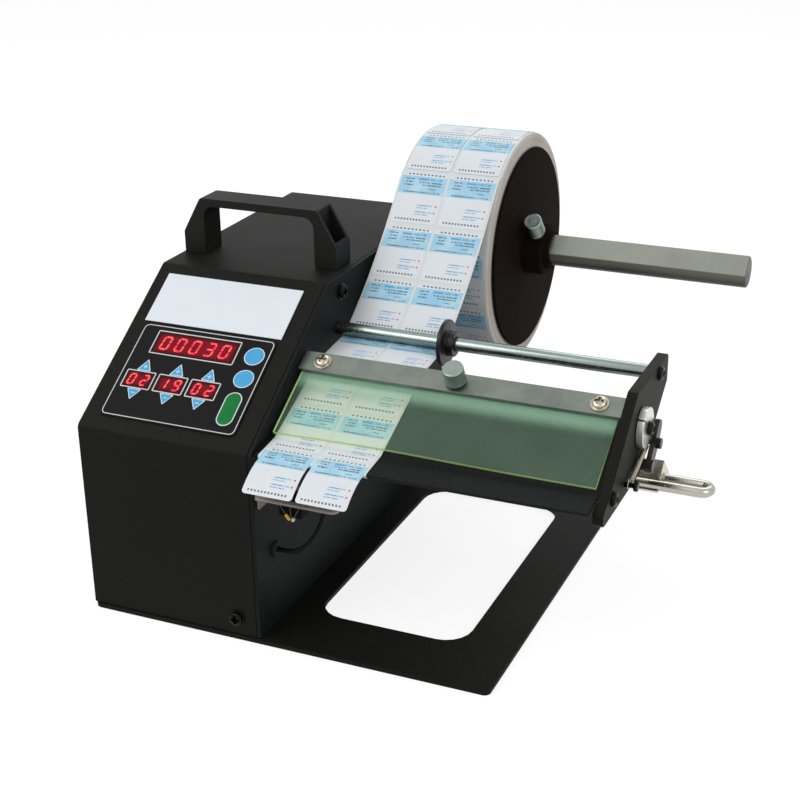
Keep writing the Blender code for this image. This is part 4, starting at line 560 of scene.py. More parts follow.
def boardLook(name):
    # solder mask over copper tracks: a brick net for the tracks, dots for the pads
    look = Look(name, "board_green")
    place = look.place()
    shifted = look.node("VectorMath", {"operation": "ADD"}, {0: place, 1: (0.0004, 0.0007, 0.0)})
    net = look.node("TexBrick", {"offset": 0.5}, {
        "Vector": shifted, "Scale": 90.0, "Color1": (1.0, 1.0, 1.0), "Color2": (1.0, 1.0, 1.0),
        "Mortar": (0.0, 0.0, 0.0), "Mortar Size": 0.03, "Brick Width": 0.6, "Row Height": 0.3})
    pads = look.node("TexVoronoi", {"feature": "F1"}, {"Vector": place, "Scale": 190, "Randomness": 0.3})
    pad = 1 - look.ramp(pads, 0.14, 0.2)
    mask = look.blend(look.noise(60), ink(12, 74, 38), ink(20, 92, 48))
    tracks = look.blend(look.node("RGBToBW", None, {0: net}), ink(34, 120, 62), mask)
    colour = look.blend(pad, tracks, ink(190, 188, 176))
    return look.finish({"Base Color": colour, "Roughness": 0.42 - 0.12 * pad, "Metallic": pad * 0.9},
                       pad, 0.00008, 0.4)


coverCoat = powderCoat("cover_coat", powderTones["cover"])
sideCoat = powderCoat("side_coat", powderTones["side"])
baseCoat = powderCoat("base_coat", powderTones["base"], 0.6)
outerCoat = powderCoat("outer_coat", powderTones["outer"], 0.52, 0.08)
handlePlastic = mouldedPlastic("handle_plastic", (21, 21, 20), 0.5, 0.14)
entryPlastic = mouldedPlastic("entry_plastic", (16, 16, 17), 0.45, 0.12)
flangePlastic = mouldedPlastic("flange_plastic", (27, 21, 17), 0.62, 0.012, 700, 0.00003)
sensorPlastic = mouldedPlastic("sensor_plastic", (14, 14, 14), 0.5, 0.04, 900, 0.00003)
collarPlastic = mouldedPlastic("collar_plastic", (17, 18, 20), 0.3, 0.3, 700, 0.00002)
groundSteel = metal("ground_steel", "steel", (134, 142, 134), 0.42, (0.05, 1, 1), 0.45, 2600)
hiddenSteel = metal("plain_steel", "steel", (150, 150, 146), 0.35, (0.1, 1, 1))
brightRod = metal("bright_rod", "bright_plating", (148, 160, 156), 0.25, (0.03, 1, 1), 0.25, 1800, 0.12)
nickel = metal("nickel", "bright_plating", (196, 188, 172), 0.2, (1, 1, 1), 0.15, 900, 0.12)
zinc = metal("zinc", "bright_plating", (150, 162, 158), 0.32, (1, 1, 1), 0.1, 1100, 0.15)
brightBar = metal("bright_bar", "steel", (206, 204, 188), 0.26, (0.05, 1, 1), 0.3, 1500, 0.12)
clipWire = metal("clip_wire", "bright_plating", (186, 186, 177), 0.2, (0.05, 1, 1), 0.2, 1500, 0.1)
cast = metal("cast_aluminium", "aluminium", (186, 186, 180), 0.38, (1, 1, 1), 0.4, 700, 0.2)
collarMetal = metal("collar_aluminium", "aluminium", (226, 231, 227), 0.32, (1, 1, 1), 0.2, 900, 0.1)
darkSteel = metal("dark_steel", "black_steel", (58, 56, 52), 0.36, (1, 1, 1), 0.4, 900, 0.3)
blackScrew = metal("black_oxide", "black_steel", (36, 35, 34), 0.32, (1, 1, 1), 0.3, 1000, 0.3)
rollerRubber = rubberSkin("roller_rubber", (46, 42, 38))
beltRubber = rubberSkin("belt_rubber", (26, 26, 26))
cardBoard = paperSkin("core_card", "card", (176, 148, 112), 0.8, 0.6)
linerPaper = paperSkin("liner_paper", "paper", (216, 221, 222), 0.34, 0.15)
whitePlate = paperSkin("plate_film", "panel_white", (226, 233, 240), 0.36, 0.12)
shelfCoat = powderCoat("shelf_coat", (160, 150, 142), 0.5, 0.2, "grey_paint")
greenBoard = boardLook("circuit_board")
print("finishes mixed")

# Housing, plates and brackets: the solids themselves with eased edges
solids = {  # a node's finish, the rounding of its edges and the steps of that rounding
    "base_plate": (baseCoat, 0.35, 2), "control_cover": (coverCoat, 0.3, 2),
    "inner_side_plate": (sideCoat, 0.3, 2), "outer_side_plate": (outerCoat, 0.6, 3),
    "carry_handle": (handlePlastic, 0.5, 3), "peel_plate": (sideCoat, 0.15, 2),
    "clamp_strip": (groundSteel, 0.25, 2), "clamp_rail": (outerCoat, 0.2, 2),
    "motor_bracket": (hiddenSteel, 0.2, 2), "spindle_housing": (cast, 0.5, 2),
    "sensor_shelf": (shelfCoat, 0.2, 2), "power_entry": (entryPlastic, 0.3, 2),
    "power_rocker": (entryPlastic, 0.35, 2), "release_lever": (darkSteel, 0.3, 2),
    "rewind_shaft": (brightBar, 0.3, 2), "shaft_collar": (collarMetal, 0.6, 3),
}
for node, (look, soft, segments) in solids.items():
    dressed(node, look, soft, segments)
plain = {"control_board": greenBoard, "display_board": greenBoard, "gear_motor": hiddenSteel,
         "drive_pulley": cast, "rewind_pulley": cast, "rewind_belt": beltRubber,
         "drive_shaft": hiddenSteel, "pinch_yoke": hiddenSteel, "inner_flange": flangePlastic,
         "roll_core": cardBoard, "tie_rod": hiddenSteel}
for node, look in plain.items():
    paint(node, look)
print("plates, handle and hidden parts dressed")

# Power inlet: three flat pins in the socket
inlet = {"middle": 47.75, "low": 28.5, "depth": 17.5, "reach": 12.0, "tip": 0.6, "blunt": 0.75,
         "pinWide": 2.0, "pinTall": 4.5, "pins": ((-7.0, 5.2), (0.0, 9.4), (7.0, 5.2))}


def pinRows(x, z):
    # four-sided bar along y: rows of its section, of full size from the foot and smaller at the tip
    floor, reach = span("power_entry")[1][1] - inlet["depth"], inlet["reach"]
    corners = np.array(((1, 1), (-1, 1), (-1, -1), (1, -1)))
    section = corners * np.array((inlet["pinWide"], inlet["pinTall"])) / 2
    sizes = np.array((0.0, 1.0, 1.0, inlet["blunt"], 0.0))
    depth = np.array((0.0, 0.0, reach - inlet["tip"], reach, reach)) + floor
    xs = inlet["middle"] + x + sizes[:, None] * section[:, 0]
    zs = inlet["low"] + z + sizes[:, None] * section[:, 1]
    return np.stack((xs, depth[:, None] + 0 * xs, zs), -1)


for k, (x, z) in enumerate(inlet["pins"]):
    settle(surface("inlet_pin_%d" % k, pinRows(x, z), False, True), nickel, body="frame")

# Panel
panel = {"front": 0.8, "bend": 120.4, "run": 103.8, "rise": 67.0, "skin": 0.9}
slope = math.atan2(panel["rise"], panel["run"])


def onPanel(x, u, h):
    # p = bend + u (0, cos t, sin t) + h (0, -sin t, cos t), where t is the panel's slope
    x, u, h = np.broadcast_arrays(x, u, h)
    return np.stack((x, panel["front"] + u * math.cos(slope) - h * math.sin(slope),
                     panel["bend"] + u * math.sin(slope) + h * math.cos(slope)), -1)


def roundedBox(left, low, wide, tall, radius, steps=6):
    # outline of a box with round corners, anticlockwise
    radius = max(radius, 0.01)
    angle = np.linspace(0, np.pi / 2, steps)
    turns = np.concatenate([angle + k * np.pi / 2 for k in range(4)])
    x = np.repeat((left + wide - radius, left + radius, left + radius, left + wide - radius), steps)
    y = np.repeat((low + tall - radius, low + tall - radius, low + radius, low + radius), steps)
    return np.stack((x + radius * np.cos(turns), y + radius * np.sin(turns)), -1)


def stamped(name, outlines, look, lift, sink=0.05, charts=None):
    # flat prints on the panel, one for each outline, from sink below its skin to lift above it
    points, faces, corners, start = [], [], [], 0
    for outline in outlines:
        count = len(outline)
        for h in (lift, -sink):
            points.append(onPanel(outline[:, 0], outline[:, 1], panel["skin"] + h))
        top = np.arange(count) + start
        after = np.roll(top, -1)
        faces.append(top.tolist())
        faces.append((top[::-1] + count).tolist())
        faces.extend(np.stack((top, top + count, after + count, after), 1).tolist())
        start += 2 * count
    for chart in charts or ():
        around = np.arange(len(chart))
        after = np.roll(around, -1)
        corners += [chart, chart[::-1], chart[np.stack((around, around, after, after), 1)].reshape(-1, 2)]
    piece = build(name, np.concatenate(points), faces, np.concatenate(corners) if charts else None)
    return settle(piece, look, body="frame")


def framed(name, box, grow, width, radius, lift, sink=0.05):
    # a printed line of one width round a box drawn out by grow: a closed grid of four rows
    left, low, wide, tall = box
    left, low, wide, tall = left - grow, low - grow, wide + 2 * grow, tall + 2 * grow
    outer = roundedBox(left, low, wide, tall, radius)
    inner = roundedBox(left + width, low + width, wide - 2 * width, tall - 2 * width,
                       max(radius - width, 0.05))
    rows = [onPanel(line[:, 0], line[:, 1], panel["skin"] + h)
            for line, h in ((outer, -sink), (outer, lift), (inner, lift), (inner, -sink))]
    return settle(surface(name, np.stack(rows), True, True), silverInk, body="frame")


def glossyInk(name, slot, tone, rough=0.3, grain=0.15, shine=0.35):
    # screen print on film: a close weave of the screen and a faint mottle
    look = Look(name, slot)
    mottle = look.noise(180, 3, 0.55)
    weave = look.noise(2600, 1, 0.5)
    colour = look.blend(mottle, shade(tone, 0.9), shade(tone, 1.08))
    return look.finish({"Base Color": colour, "Roughness": rough + 0.1 * mottle, "Specular IOR Level": shine},
                       weave, 0.00003, grain)


windowGlow = {"rim": 2.2, "ends": 2.0, "soft": 1.8, "strength": 0.9}


def displayLook(boxes):
    # dark red windows that glow round their digits: in each box the glow fades towards its rim
    look = Look("display_window", "display_red")
    foot = world((0, panel["front"], panel["bend"]))
    x, y, z = look.parts(look.place())
    across = (x - foot[0]) * 1000.0
    up = (y - foot[1]) * (1000 * math.cos(slope)) + (z - foot[2]) * (1000 * math.sin(slope))
    rim, ends, soft = windowGlow["rim"], windowGlow["ends"], windowGlow["soft"]
    glow = 0.0
    for left, low, wide, tall in boxes:
        middle = look.between(across, left + rim, left + wide - rim, soft)
        glow = glow + middle * look.between(up, low + ends, low + tall - ends, soft)
    mottle = look.noise(140, 2, 0.5)
    colour = look.blend(mottle, ink(26, 0, 4), ink(36, 3, 8))
    return look.finish({"Base Color": colour, "Roughness": 0.2 + 0.06 * mottle, "Specular IOR Level": 0.12,
                        "Emission Color": look.blend(glow, ink(40, 0, 8), ink(128, 2, 22)),
                        "Emission Strength": windowGlow["strength"]}, look.noise(2200), 0.00002, 0.08)


def litLook():
    # a lit bar, warm in its middle and pure red at its rim
    look = Look("lit_segment", "display_red")
    across = look.sheetPlace()[1]
    core = 1 - look.ramp(look.maths("ABSOLUTE", across), 0.05, 0.6)
    core = core * look.ramp(look.noise(500, 2, 0.5), 0.35, 0.6)
    colour = look.blend(core, (1.0, 0.008, 0.09), (1.0, 0.24, 0.12))
    return look.finish({"Base Color": ink(90, 4, 10), "Roughness": 0.3, "Specular IOR Level": 0.1,
                        "Emission Color": colour, "Emission Strength": 1.1})


padBlack = glossyInk("keypad_film", "panel_black", (16, 15, 16), 0.36, shine=0.1)
silverInk = glossyInk("silver_line", "panel_white", (205, 209, 207), 0.38)
blueInk = glossyInk("blue_key", "panel_black", (78, 166, 216), 0.34, shine=0.15)
paleInk = glossyInk("pale_line", "panel_white", (214, 230, 236), 0.36)
greenInk = glossyInk("green_key", "panel_black", (14, 116, 50), 0.34, shine=0.15)
litInk = litLook()

marks = {  # x, and the length up the slope from the bend
    "padLine": (10.1, 9.5, 89.2, 67.6), "padInset": 0.9, "padLineWidth": 0.55, "padRound": 3.2,
    "count": (22.6, 56.8, 54.6, 15.3), "small": (15.2, 31.1, 17.9, 10.9), "smallPitch": 21.6,
    "frameWidth": 0.7, "frameGap": 0.15, "frameRound": 0.9,
    "up": (43.1, 51.6), "down": (30.0, 22.3), "arrowX": ((20.0, 29.4), (41.9, 51.4), (63.0, 72.4)),
    "arrowShrink": 0.45, "arrowRound": 0.9,
    "signs": ((-1.3, 45.75, 2.6, 0.5), (-0.25, 44.7, 0.5, 0.95), (-0.25, 46.35, 0.5, 0.95),
              (-1.3, 27.0, 2.6, 0.5)), "signRound": 0.1,
    "buttons": ((89.2, 64.4), (89.1, 48.2)), "buttonRadius": 6.3, "pill": (83.6, 15.3, 10.6, 23.2),
    "countDigits": (49.9, 64.4),
}
lifts = {"line": 0.06, "arrowRim": 0.07, "arrowKey": 0.11, "frame": 0.12, "sign": 0.15}
dressed("name_plate", whitePlate, 0.12)
dressed("keypad_overlay", padBlack, 0.12)
framed("keypad_line", marks["padLine"], -marks["padInset"], marks["padLineWidth"], marks["padRound"],
       lifts["line"])
windows = [marks["count"]]
windows += [(marks["small"][0] + k * marks["smallPitch"], *marks["small"][1:]) for k in range(3)]
windowLook = displayLook(windows)
for node in ("count_display", "setting_display_left", "setting_display_middle", "setting_display_right"):
    dressed(node, windowLook, 0.08)
for k, box in enumerate(windows):
    framed("window_frame_%d" % k, box, marks["frameWidth"] + marks["frameGap"], marks["frameWidth"],
           marks["frameRound"], lifts["frame"])


def triangle(x, base, apex, shrink):
    # a triangle with blunt corners, drawn in by shrink on all sides
    left, right = x
    height = apex - base
    sign = 1 if height > 0 else -1
    slant = math.hypot((right - left) / 2, height) / ((right - left) / 2)
    foot = base + sign * shrink
    corners = np.array(((left + shrink * 1.9, foot), (right - shrink * 1.9, foot),
                        ((left + right) / 2, apex - sign * shrink * slant)))
    corners = corners if sign > 0 else corners[::-1]
    return eased(corners, marks["arrowRound"] - shrink / 2, 4, True)


for name, shrink, look, lift in (("arrow_rims", 0.0, paleInk, lifts["arrowRim"]),
                                 ("arrow_keys", marks["arrowShrink"], blueInk, lifts["arrowKey"])):
    arrows = [triangle(x, *marks[way], shrink) for way in ("up", "down") for x in marks["arrowX"]]
    stamped(name, arrows, look, lift)
signs = [roundedBox(sum(x) / 2 + left, low, wide, tall, marks["signRound"], 2)
         for x in marks["arrowX"] for left, low, wide, tall in marks["signs"]]
stamped("arrow_signs", signs, paleInk, lifts["sign"], 0)

keyShape = {"rim": 0.12, "step": 0.02, "dome": 0.35, "inset": 0.55, "pillInset": 0.6, "sink": 0.05}
r, rimLift = marks["buttonRadius"], keyShape["rim"]
axis = onPanel(0, 0, 1) - onPanel(0, 0, 0)
rim = eased([(-keyShape["sink"], 0), (-keyShape["sink"], r), (rimLift, r), (rimLift, 0)], 0.05, 3)
share = np.linspace(1, 0, 12)
face = r - keyShape["inset"]
dome = np.stack((rimLift + keyShape["step"] + keyShape["dome"] * (1 - share ** 4), share * face), -1)
dome = np.concatenate(([(0, 0), (0, face)], dome))
for k, (x, u) in enumerate(marks["buttons"]):
    place = onPanel(x, u, panel["skin"])
    settle(turned("round_key_rim_%d" % k, rim, place, axis, 64), paleInk, body="frame")
    settle(turned("round_key_%d" % k, dome, place, axis, 64), blueInk, body="frame")
left, low, wide, tall = marks["pill"]
stamped("long_key_rim", [roundedBox(left, low, wide, tall, wide / 2, 14)], paleInk, rimLift)
share = np.linspace(0, 1, 8)[:, None, None]
edge = keyShape["pillInset"]
inner = roundedBox(left + edge, low + edge, wide - 2 * edge, tall - 2 * edge, wide / 2 - edge, 14)
core = roundedBox(left + wide / 2 - 0.01, low + wide / 2, 0.02, tall - wide, 0.005, 14)  # its middle line
line = inner + (core - inner) * share
rise = rimLift + keyShape["step"] + keyShape["dome"] * (1 - (1 - share[..., 0]) ** 4)
rows = onPanel(line[..., 0], line[..., 1], panel["skin"] + rise)
foot = onPanel(inner[:, 0], inner[:, 1], panel["skin"])[None]
settle(surface("long_key", np.concatenate((foot, rows)), False, True), greenInk, body="frame")

digit = {"wide": 6.2, "tall": 10.4, "bar": 1.5, "slant": 0.12, "gap": 0.1, "pitch": 9.9}
smallDigit = {"wide": 4.9, "tall": 8.3, "bar": 1.3, "slant": 0.12, "gap": 0.1, "pitch": 8.6}
barsOf = {"0": "abcdef", "1": "bc", "2": "abged", "3": "abgcd", "9": "abcdfg"}
litShape = {"lift": 0.06, "sink": 0.1, "map": 1.2}
lit = ([], [])


def lightDigits(text, middle, u, size):
    # lit bars: a six-sided bar between two ends, ends at the corners of the digit, slanted
    bar, gap = size["bar"], size["gap"]
    half, up = size["wide"] / 2 - bar / 2, size["tall"] / 2 - bar / 2
    ends = {"a": ((-half, up), (half, up)), "b": ((half, up), (half, 0)), "c": ((half, 0), (half, -up)),
            "d": ((-half, -up), (half, -up)), "e": ((-half, 0), (-half, -up)), "f": ((-half, up), (-half, 0)),
            "g": ((-half, 0), (half, 0))}
    for place, figure in enumerate(text):
        x = middle + size["pitch"] * (place - (len(text) - 1) / 2)
        for key in barsOf[figure]:
            start, end = np.array(ends[key], float)
            way = (end - start) / np.linalg.norm(end - start)
            across = np.array((-way[1], way[0]))
            start, end = start + way * gap, end - way * gap
            outline = np.stack((start, start + (way - across) * bar / 2, end - (way + across) * bar / 2, end,
                                end - (way - across) * bar / 2, start + (way + across) * bar / 2))
            chart = np.stack(((outline - start) @ way, (outline - start) @ across), -1)
            outline[:, 0] += outline[:, 1] * size["slant"]
            lit[0].append(outline + (x, u))
            lit[1].append(chart / mapUnit * litShape["map"] / bar)


lightDigits("00030", *marks["countDigits"], digit)
for text, (left, low, wide, tall) in zip(("02", "19", "02"), windows[1:]):
    lightDigits(text, left + wide / 2, low + tall / 2, smallDigit)
stamped("lit_bars", lit[0], litInk, litShape["lift"], litShape["sink"], lit[1])
print("panel printed")

# Screws, with a cross or six-sided recess that is given in shares of the head's radius
recess = {"arm": 0.21, "reach": 0.62, "depth": 0.5, "wall": 0.07, "end": 0.1,
          "hex": 0.42, "hexDepth": 0.42, "hexWall": 0.06}
screw = {"head": 4.2, "tall": 2.6, "stripTall": 2.7, "collarHead": 4.0, "washer": (5.2, 0.8),
         "rim": 0.35, "power": 2.6, "stud": 2.0, "seat": 0.02}
plateFaces = {"inner": 113.8, "outer": 312.0}  # x of the side plates' right faces
right = (1, 0, 0)


def crossSink(head, top):
    # a slot of half width arm on each of two lines through the middle, its floor rising outwards
    def sink(r, angle, s):
        p, q = np.abs(r * np.cos(angle)) / head, np.abs(r * np.sin(angle)) / head
        near = ((recess["arm"] - np.minimum(p, q)) / recess["wall"]).clip(0, 1)
        far = ((recess["reach"] - np.maximum(p, q)) / recess["end"]).clip(0, 1)
        return np.where(s > top, recess["depth"] * head * near * far, 0)
    return sink


def hexSink(head, top):
    # a flat-bottomed hole whose sides are the lines |p cos t + q sin t| = f for t of 0, 60 and 120 degrees
    def sink(r, angle, s):
        sides = [np.abs(r * np.cos(angle - t)) for t in np.radians((0, 60, 120))]
        inside = (recess["hex"] * head - np.maximum.reduce(sides)) / (recess["hexWall"] * head)
        return np.where(s > top, recess["hexDepth"] * head * inside.clip(0, 1), 0)
    return sink


def screwHead(node, place, axis, look, head=screw["head"], tall=screw["tall"], washer=screw["washer"],
              sinkOf=crossSink):
    # dome (1 - rim) tall (1 - (r / head)^power)^0.5 on a rim of rim tall, over a washer with a round edge
    lift = washer[1] if washer else 0.0
    rim, stud, seat = screw["rim"], screw["stud"], screw["seat"]
    share = np.linspace(0, 1, 26)
    swell = (1 - rim) * tall * np.sqrt(np.maximum(1 - share ** screw["power"], 0))
    dome = np.stack((lift + rim * tall + swell, share * head), -1)
    rows = [dome[:-1], [(lift + rim * tall, head), (lift, head * 0.97)]]
    if washer:
        edge = [(lift, head * 0.9), (lift, washer[0]), (seat, washer[0]), (seat, stud)]
        rows.append(eased(edge, 0.2, 3)[1:])
    rows.append([(seat, stud), (-stud, stud), (-stud, 0)])
    profile = np.concatenate([np.asarray(part, float) for part in rows])
    sink = sinkOf(head, lift + (rim + 0.01) * tall)
    return settle(turned(node + "_piece", profile, place, axis, 72, sink=sink, smooth=40), look, [node])


def middleOf(node):
    low, high = span(node)
    return (low + high) / 2


def lyingOn(node):
    # a round node along x: its length, its radius and the left end of its axis
    low, high = span(node)
    return high[0] - low[0], (high[2] - low[2]) / 2, (low[0], *middleOf(node)[1:])


x, _, z = middleOf("cover_screw")
screwHead("cover_screw", (x, panel["front"], z), (0, -1, 0), blackScrew)
screwHead("side_screw", (plateFaces["inner"], *middleOf("side_screw")[1:]), right, blackScrew)
for node in ("rod_end_screw", "tie_rod_screw"):
    screwHead(node, (plateFaces["outer"], *middleOf(node)[1:]), right, blackScrew, washer=None,
              sinkOf=hexSink)

strip = {"edge": (59.7, 150.8), "wide": 13.7, "thick": 2.5, "lean": 27.9, "screws": (127.6, 292.2),
         "knob": 209.9}
lean = math.radians(strip["lean"])
alongStrip = np.array((0, math.cos(lean), math.sin(lean)))
offStrip = np.array((0, -math.sin(lean), math.cos(lean)))


def onStrip(x, along, off):
    return np.array((x, *strip["edge"])) + alongStrip * along + offStrip * off


for node, x in zip(("strip_screw_left", "strip_screw_right"), strip["screws"]):
    screwHead(node, onStrip(x, strip["wide"] / 2, 0), offStrip, nickel, tall=screw["stripTall"])

# low, high and root lie along a knob's axis: the drum's start and end, and the tip of its screw
knob = {"radius": 6.1, "low": 1.9, "high": 12.2, "stem": 3.05, "pitch": 0.95, "depth": 0.34, "edge": 0.7,
        "root": -6.8}
flangeKnob = {"radius": 6.0, "low": 21.5, "high": 33.5, "stem": 3.2, "pitch": 0.95, "depth": 0.3,
              "edge": 0.8, "root": 7.5, "lean": 48.0}
drum = {"bevel": 0.3, "dish": 0.06, "mark": 0.25, "screw": 2.3, "fade": 0.4}


def knurl(radius, pitch, depth, low, high):
    # two crossing waves: depth (|u + v| + |u - v|), each a triangle wave of the pitch, inside low to high
    teeth = round(2 * math.pi * radius / pitch)

    def toothed(s, angle, r):
        turn, along = angle * teeth / (2 * np.pi), s / pitch * 0.55
        waves = sum(np.abs((turn + sign * along) % 1 - 0.5) for sign in (-1, 1))
        fade = np.clip((s - low) / drum["fade"], 0, 1) * np.clip((high - s) / drum["fade"], 0, 1)
        return r - depth * waves * fade * (s > low) * (s < high)
    return toothed, teeth * 6


def knurledKnob(name, node, size, place, axis):
    # stem, then a knurled drum with a turned edge, a shallow dish and a centre mark on top
    low, high, r, edge, root = (size[key] for key in ("low", "high", "radius", "edge", "root"))
    start, floor, mark = low + drum["bevel"], high - drum["dish"], high - drum["mark"]
    toothed, sides = knurl(r, size["pitch"], size["depth"], start, high - edge)
    body = np.linspace(start, high - edge, 30)
    share = np.linspace(0, np.pi / 2, 5)
    rim = np.stack((high - edge + edge * np.sin(share), r - edge + edge * np.cos(share)), -1)
    dish = [(high, r - edge - 0.3), (floor, r - edge - 0.6), (floor, 2.0), (floor, 0.65), (floor, 0.55),
            (mark, 0.25), (mark, 0)]
    foot = [(root, 0), (root, drum["screw"]), (0.3, drum["screw"]), (0.3, size["stem"]), (low, size["stem"]),
            (low, r - 0.4)]
    profile = np.concatenate((foot, np.stack((body, np.full(30, r)), -1), rim, dish))
    return settle(turned(name, profile, place, axis, sides, reshape=toothed, smooth=38), zinc, [node])


knurledKnob("strip_knob", "strip_thumb_screw", knob, onStrip(strip["knob"], strip["wide"] / 2, 0), offStrip)
flat = math.radians(flangeKnob["lean"])
offFlat = np.array((0, -math.cos(flat), math.sin(flat)))
spindleAxis = np.array((256.2, 173.8))
knurledKnob("flange_knob", "flange_thumb_screw", flangeKnob,
            (middleOf("flange_thumb_screw")[0], *spindleAxis), offFlat)
print("screws and knobs turned")

# Rods, rollers and spindle
collar = {"rim": 14.0, "rimThick": 2.6, "hub": 7.5, "hubLong": 5.0, "bore": 4.2, "edge": 0.8}
post = {"neck": 1.4, "head": 3.0, "headLong": 2.2, "edge": 0.5}
spindle = {"journal": 5.0, "shoulder": 114.1, "radius": 10.0, "flatStart": 183.9, "flat": 7.1,
           "end": ((1.1, 10.0, 7.1), (0.33, 9.6, 6.8), (0.0, 8.9, 6.2))}  # back from the end, radius, flat


def ringProfile(long, bore, radius, edge, steps=4):
    # half section of a ring along its axis, or of a plain bar where it has no bore
    return eased([(0, bore), (0, radius), (long, radius), (long, bore)], edge, steps, bore > 0)


for node, look, soft in (("guide_rod", brightRod, 0.3), ("drive_sleeve", rollerRubber, 0.4),
                         ("pinch_roller", rollerRubber, 0.4)):
    long, radius, start = lyingOn(node)
    settle(turned(node + "_piece", ringProfile(long, 0, radius, soft), start), look, [node])

end = collar["rimThick"] + collar["hubLong"]
profile = eased([(0, collar["bore"]), (0, collar["rim"]), (collar["rimThick"], collar["rim"]),
                 (collar["rimThick"], collar["hub"]), (end, collar["hub"]), (end, collar["bore"])],
                collar["edge"], 5, True)
settle(turned("guide_collar_piece", profile, lyingOn("guide_collar")[2], sides=112, closed=True),
       collarPlastic, ["guide_collar"])

long, _, start = lyingOn("collar_screw")
screwHead("collar_screw", start, right, blackScrew, screw["collarHead"], long, None, hexSink)
long, _, start = lyingOn("lower_spring_post")
neckEnd = long - post["headLong"]
profile = eased([(0, 0), (0, post["neck"]), (neckEnd, post["neck"]), (neckEnd, post["head"]),
                 (long, post["head"]), (long, 0)], post["edge"], 4)
settle(turned("spring_post", profile, start, sides=48), blackScrew, ["lower_spring_post"])


def spindleRows():
    # section r(a) = min(R, flat / cos a), with a measured from the flat's middle, on rows of x, R and flat
    low, high = span("supply_spindle")
    keys = ("journal", "radius", "shoulder", "flatStart")
    journal, radius, shoulder, start = (spindle[key] for key in keys)
    uncut = 99
    rows = [(low[0], 0, uncut), (low[0], journal, uncut), (shoulder, journal, uncut),
            (shoulder, radius, uncut), (start, radius, uncut), (start, radius, spindle["flat"])]
    rows += [(high[0] - back, size, cut) for back, size, cut in spindle["end"]]
    x, r, flats = np.array(rows + [(high[0], 0, spindle["end"][-1][2])]).T
    corner = math.acos(spindle["flat"] / spindle["radius"])
    a = np.unique(np.concatenate((np.linspace(-np.pi, np.pi, 96, endpoint=False), (corner, -corner))))
    size = np.minimum(r[:, None], flats[:, None] / np.maximum(np.cos(a), 0.01))
    across = np.array((0, math.sin(flat), math.cos(flat)))
    ring = np.cos(a)[:, None] * offFlat + np.sin(a)[:, None] * across
    centre = np.stack((x, np.full(len(x), spindleAxis[0]), np.full(len(x), spindleAxis[1])), -1)
    return centre[:, None] + size[..., None] * ring


def spindleLook():
    # ground flat on a darker drawn bar: the height over the axis, towards the flat, parts the two tones; the
    # bar's darker tone is partly its drawn finish and partly painted shade, and it darkens further towards
    # the underside as painted shade
    look = Look("spindle_steel_painted_shade", "steel")
    _, back, up = look.parts(look.place())
    axis = world((0, *spindleAxis))
    height = ((back - axis[1]) * offFlat[1] + (up - axis[2]) * offFlat[2]) * 1000.0
    ground = look.ramp(height, spindle["flat"] - 0.5, spindle["flat"] - 0.1)
    grain = look.noise(2400, 3, 0.6, (0.3, 1, 1))
    stains = look.noise(55, 4, 0.62)
    # painted shade: the drawn bar is near black from the axis down and brightens to mid grey near the flat
    drawnWithPaintedShade = look.blend(look.ramp(height, 0.0, 6.6), ink(30, 30, 27), ink(100, 100, 92))
    milled = look.blend(stains, ink(146, 150, 140), ink(168, 170, 160))
    colour = look.blend(ground, drawnWithPaintedShade, milled)
    colour = look.blend(grain * 0.6, colour, ink(96, 98, 90))
    roughness = 0.3 + 0.16 * stains + 0.1 * grain
    return look.finish({"Base Color": colour, "Roughness": roughness, "Metallic": 0.9}, grain, 0.00004, 0.2)


settle(surface("spindle_bar", spindleRows(), False, True, smooth=28), spindleLook(), ["supply_spindle"])

flange = {"bore": 10.2, "radius": 65.5, "thick": 1.8, "hub": 17.0, "hubLong": 17.5, "edge": 0.9, "flat": 15.5,
          "root": 0.8, "ring": 13.0, "ringLong": 4.0}


def hubFlat(s, angle, r):
    # beyond the root the radius is at most flat / cos(a - a0), where a0 is the way to the flat's middle
    away = np.maximum(np.cos(angle + flat), 0.01)
    return np.where(s > flange["thick"] + flange["root"] + 0.005, np.minimum(r, flange["flat"] / away), r)


end, root = flange["thick"] + flange["hubLong"], flange["thick"] + flange["root"]
shoulder = end - flange["ringLong"]
profile = eased([(0, flange["bore"]), (0, flange["radius"]), (flange["thick"], flange["radius"]),
                 (flange["thick"], flange["hub"]), (root, flange["hub"]), (root + 0.01, flange["hub"]),
                 (shoulder, flange["hub"]), (shoulder, flange["ring"]), (end, flange["ring"]),
                 (end, flange["bore"])], flange["edge"], 5, True)
settle(turned("flange_disc", profile, (span("outer_flange")[0][0], *spindleAxis), sides=200, closed=True,
              reshape=hubFlat), flangePlastic, ["outer_flange"])

clip = {"wire": 3.0, "spacing": 9.8, "inset": 1.0}
low, high = span("u_clip")
r = clip["spacing"] / 2
bendX = high[0] - clip["wire"] - r
turn = np.linspace(np.pi / 2, -np.pi / 2, 25)
legs = np.linspace(low[0] + clip["inset"], bendX, 30)[:-1]
near, far = high[1] - clip["wire"], low[1] + clip["wire"]
x = np.concatenate((legs, bendX + r * np.cos(turn), legs[::-1]))
y = np.concatenate((np.full(len(legs), near), (near + far) / 2 + r * np.sin(turn), np.full(len(legs), far)))
path = np.stack((x, y, np.full(len(x), middleOf("u_clip")[2])), -1)
settle(swept("clip_wire", path, clip["wire"], (0, 0, 1), 24, True), clipWire, ["u_clip"])

spring = {"wire": 0.3, "coil": 1.3, "pitch": 1.16, "x": 313.9, "top": (88.5, 126.0), "post": 1.4,
          "slack": 0.3, "hook": 26, "grip": 0.12}


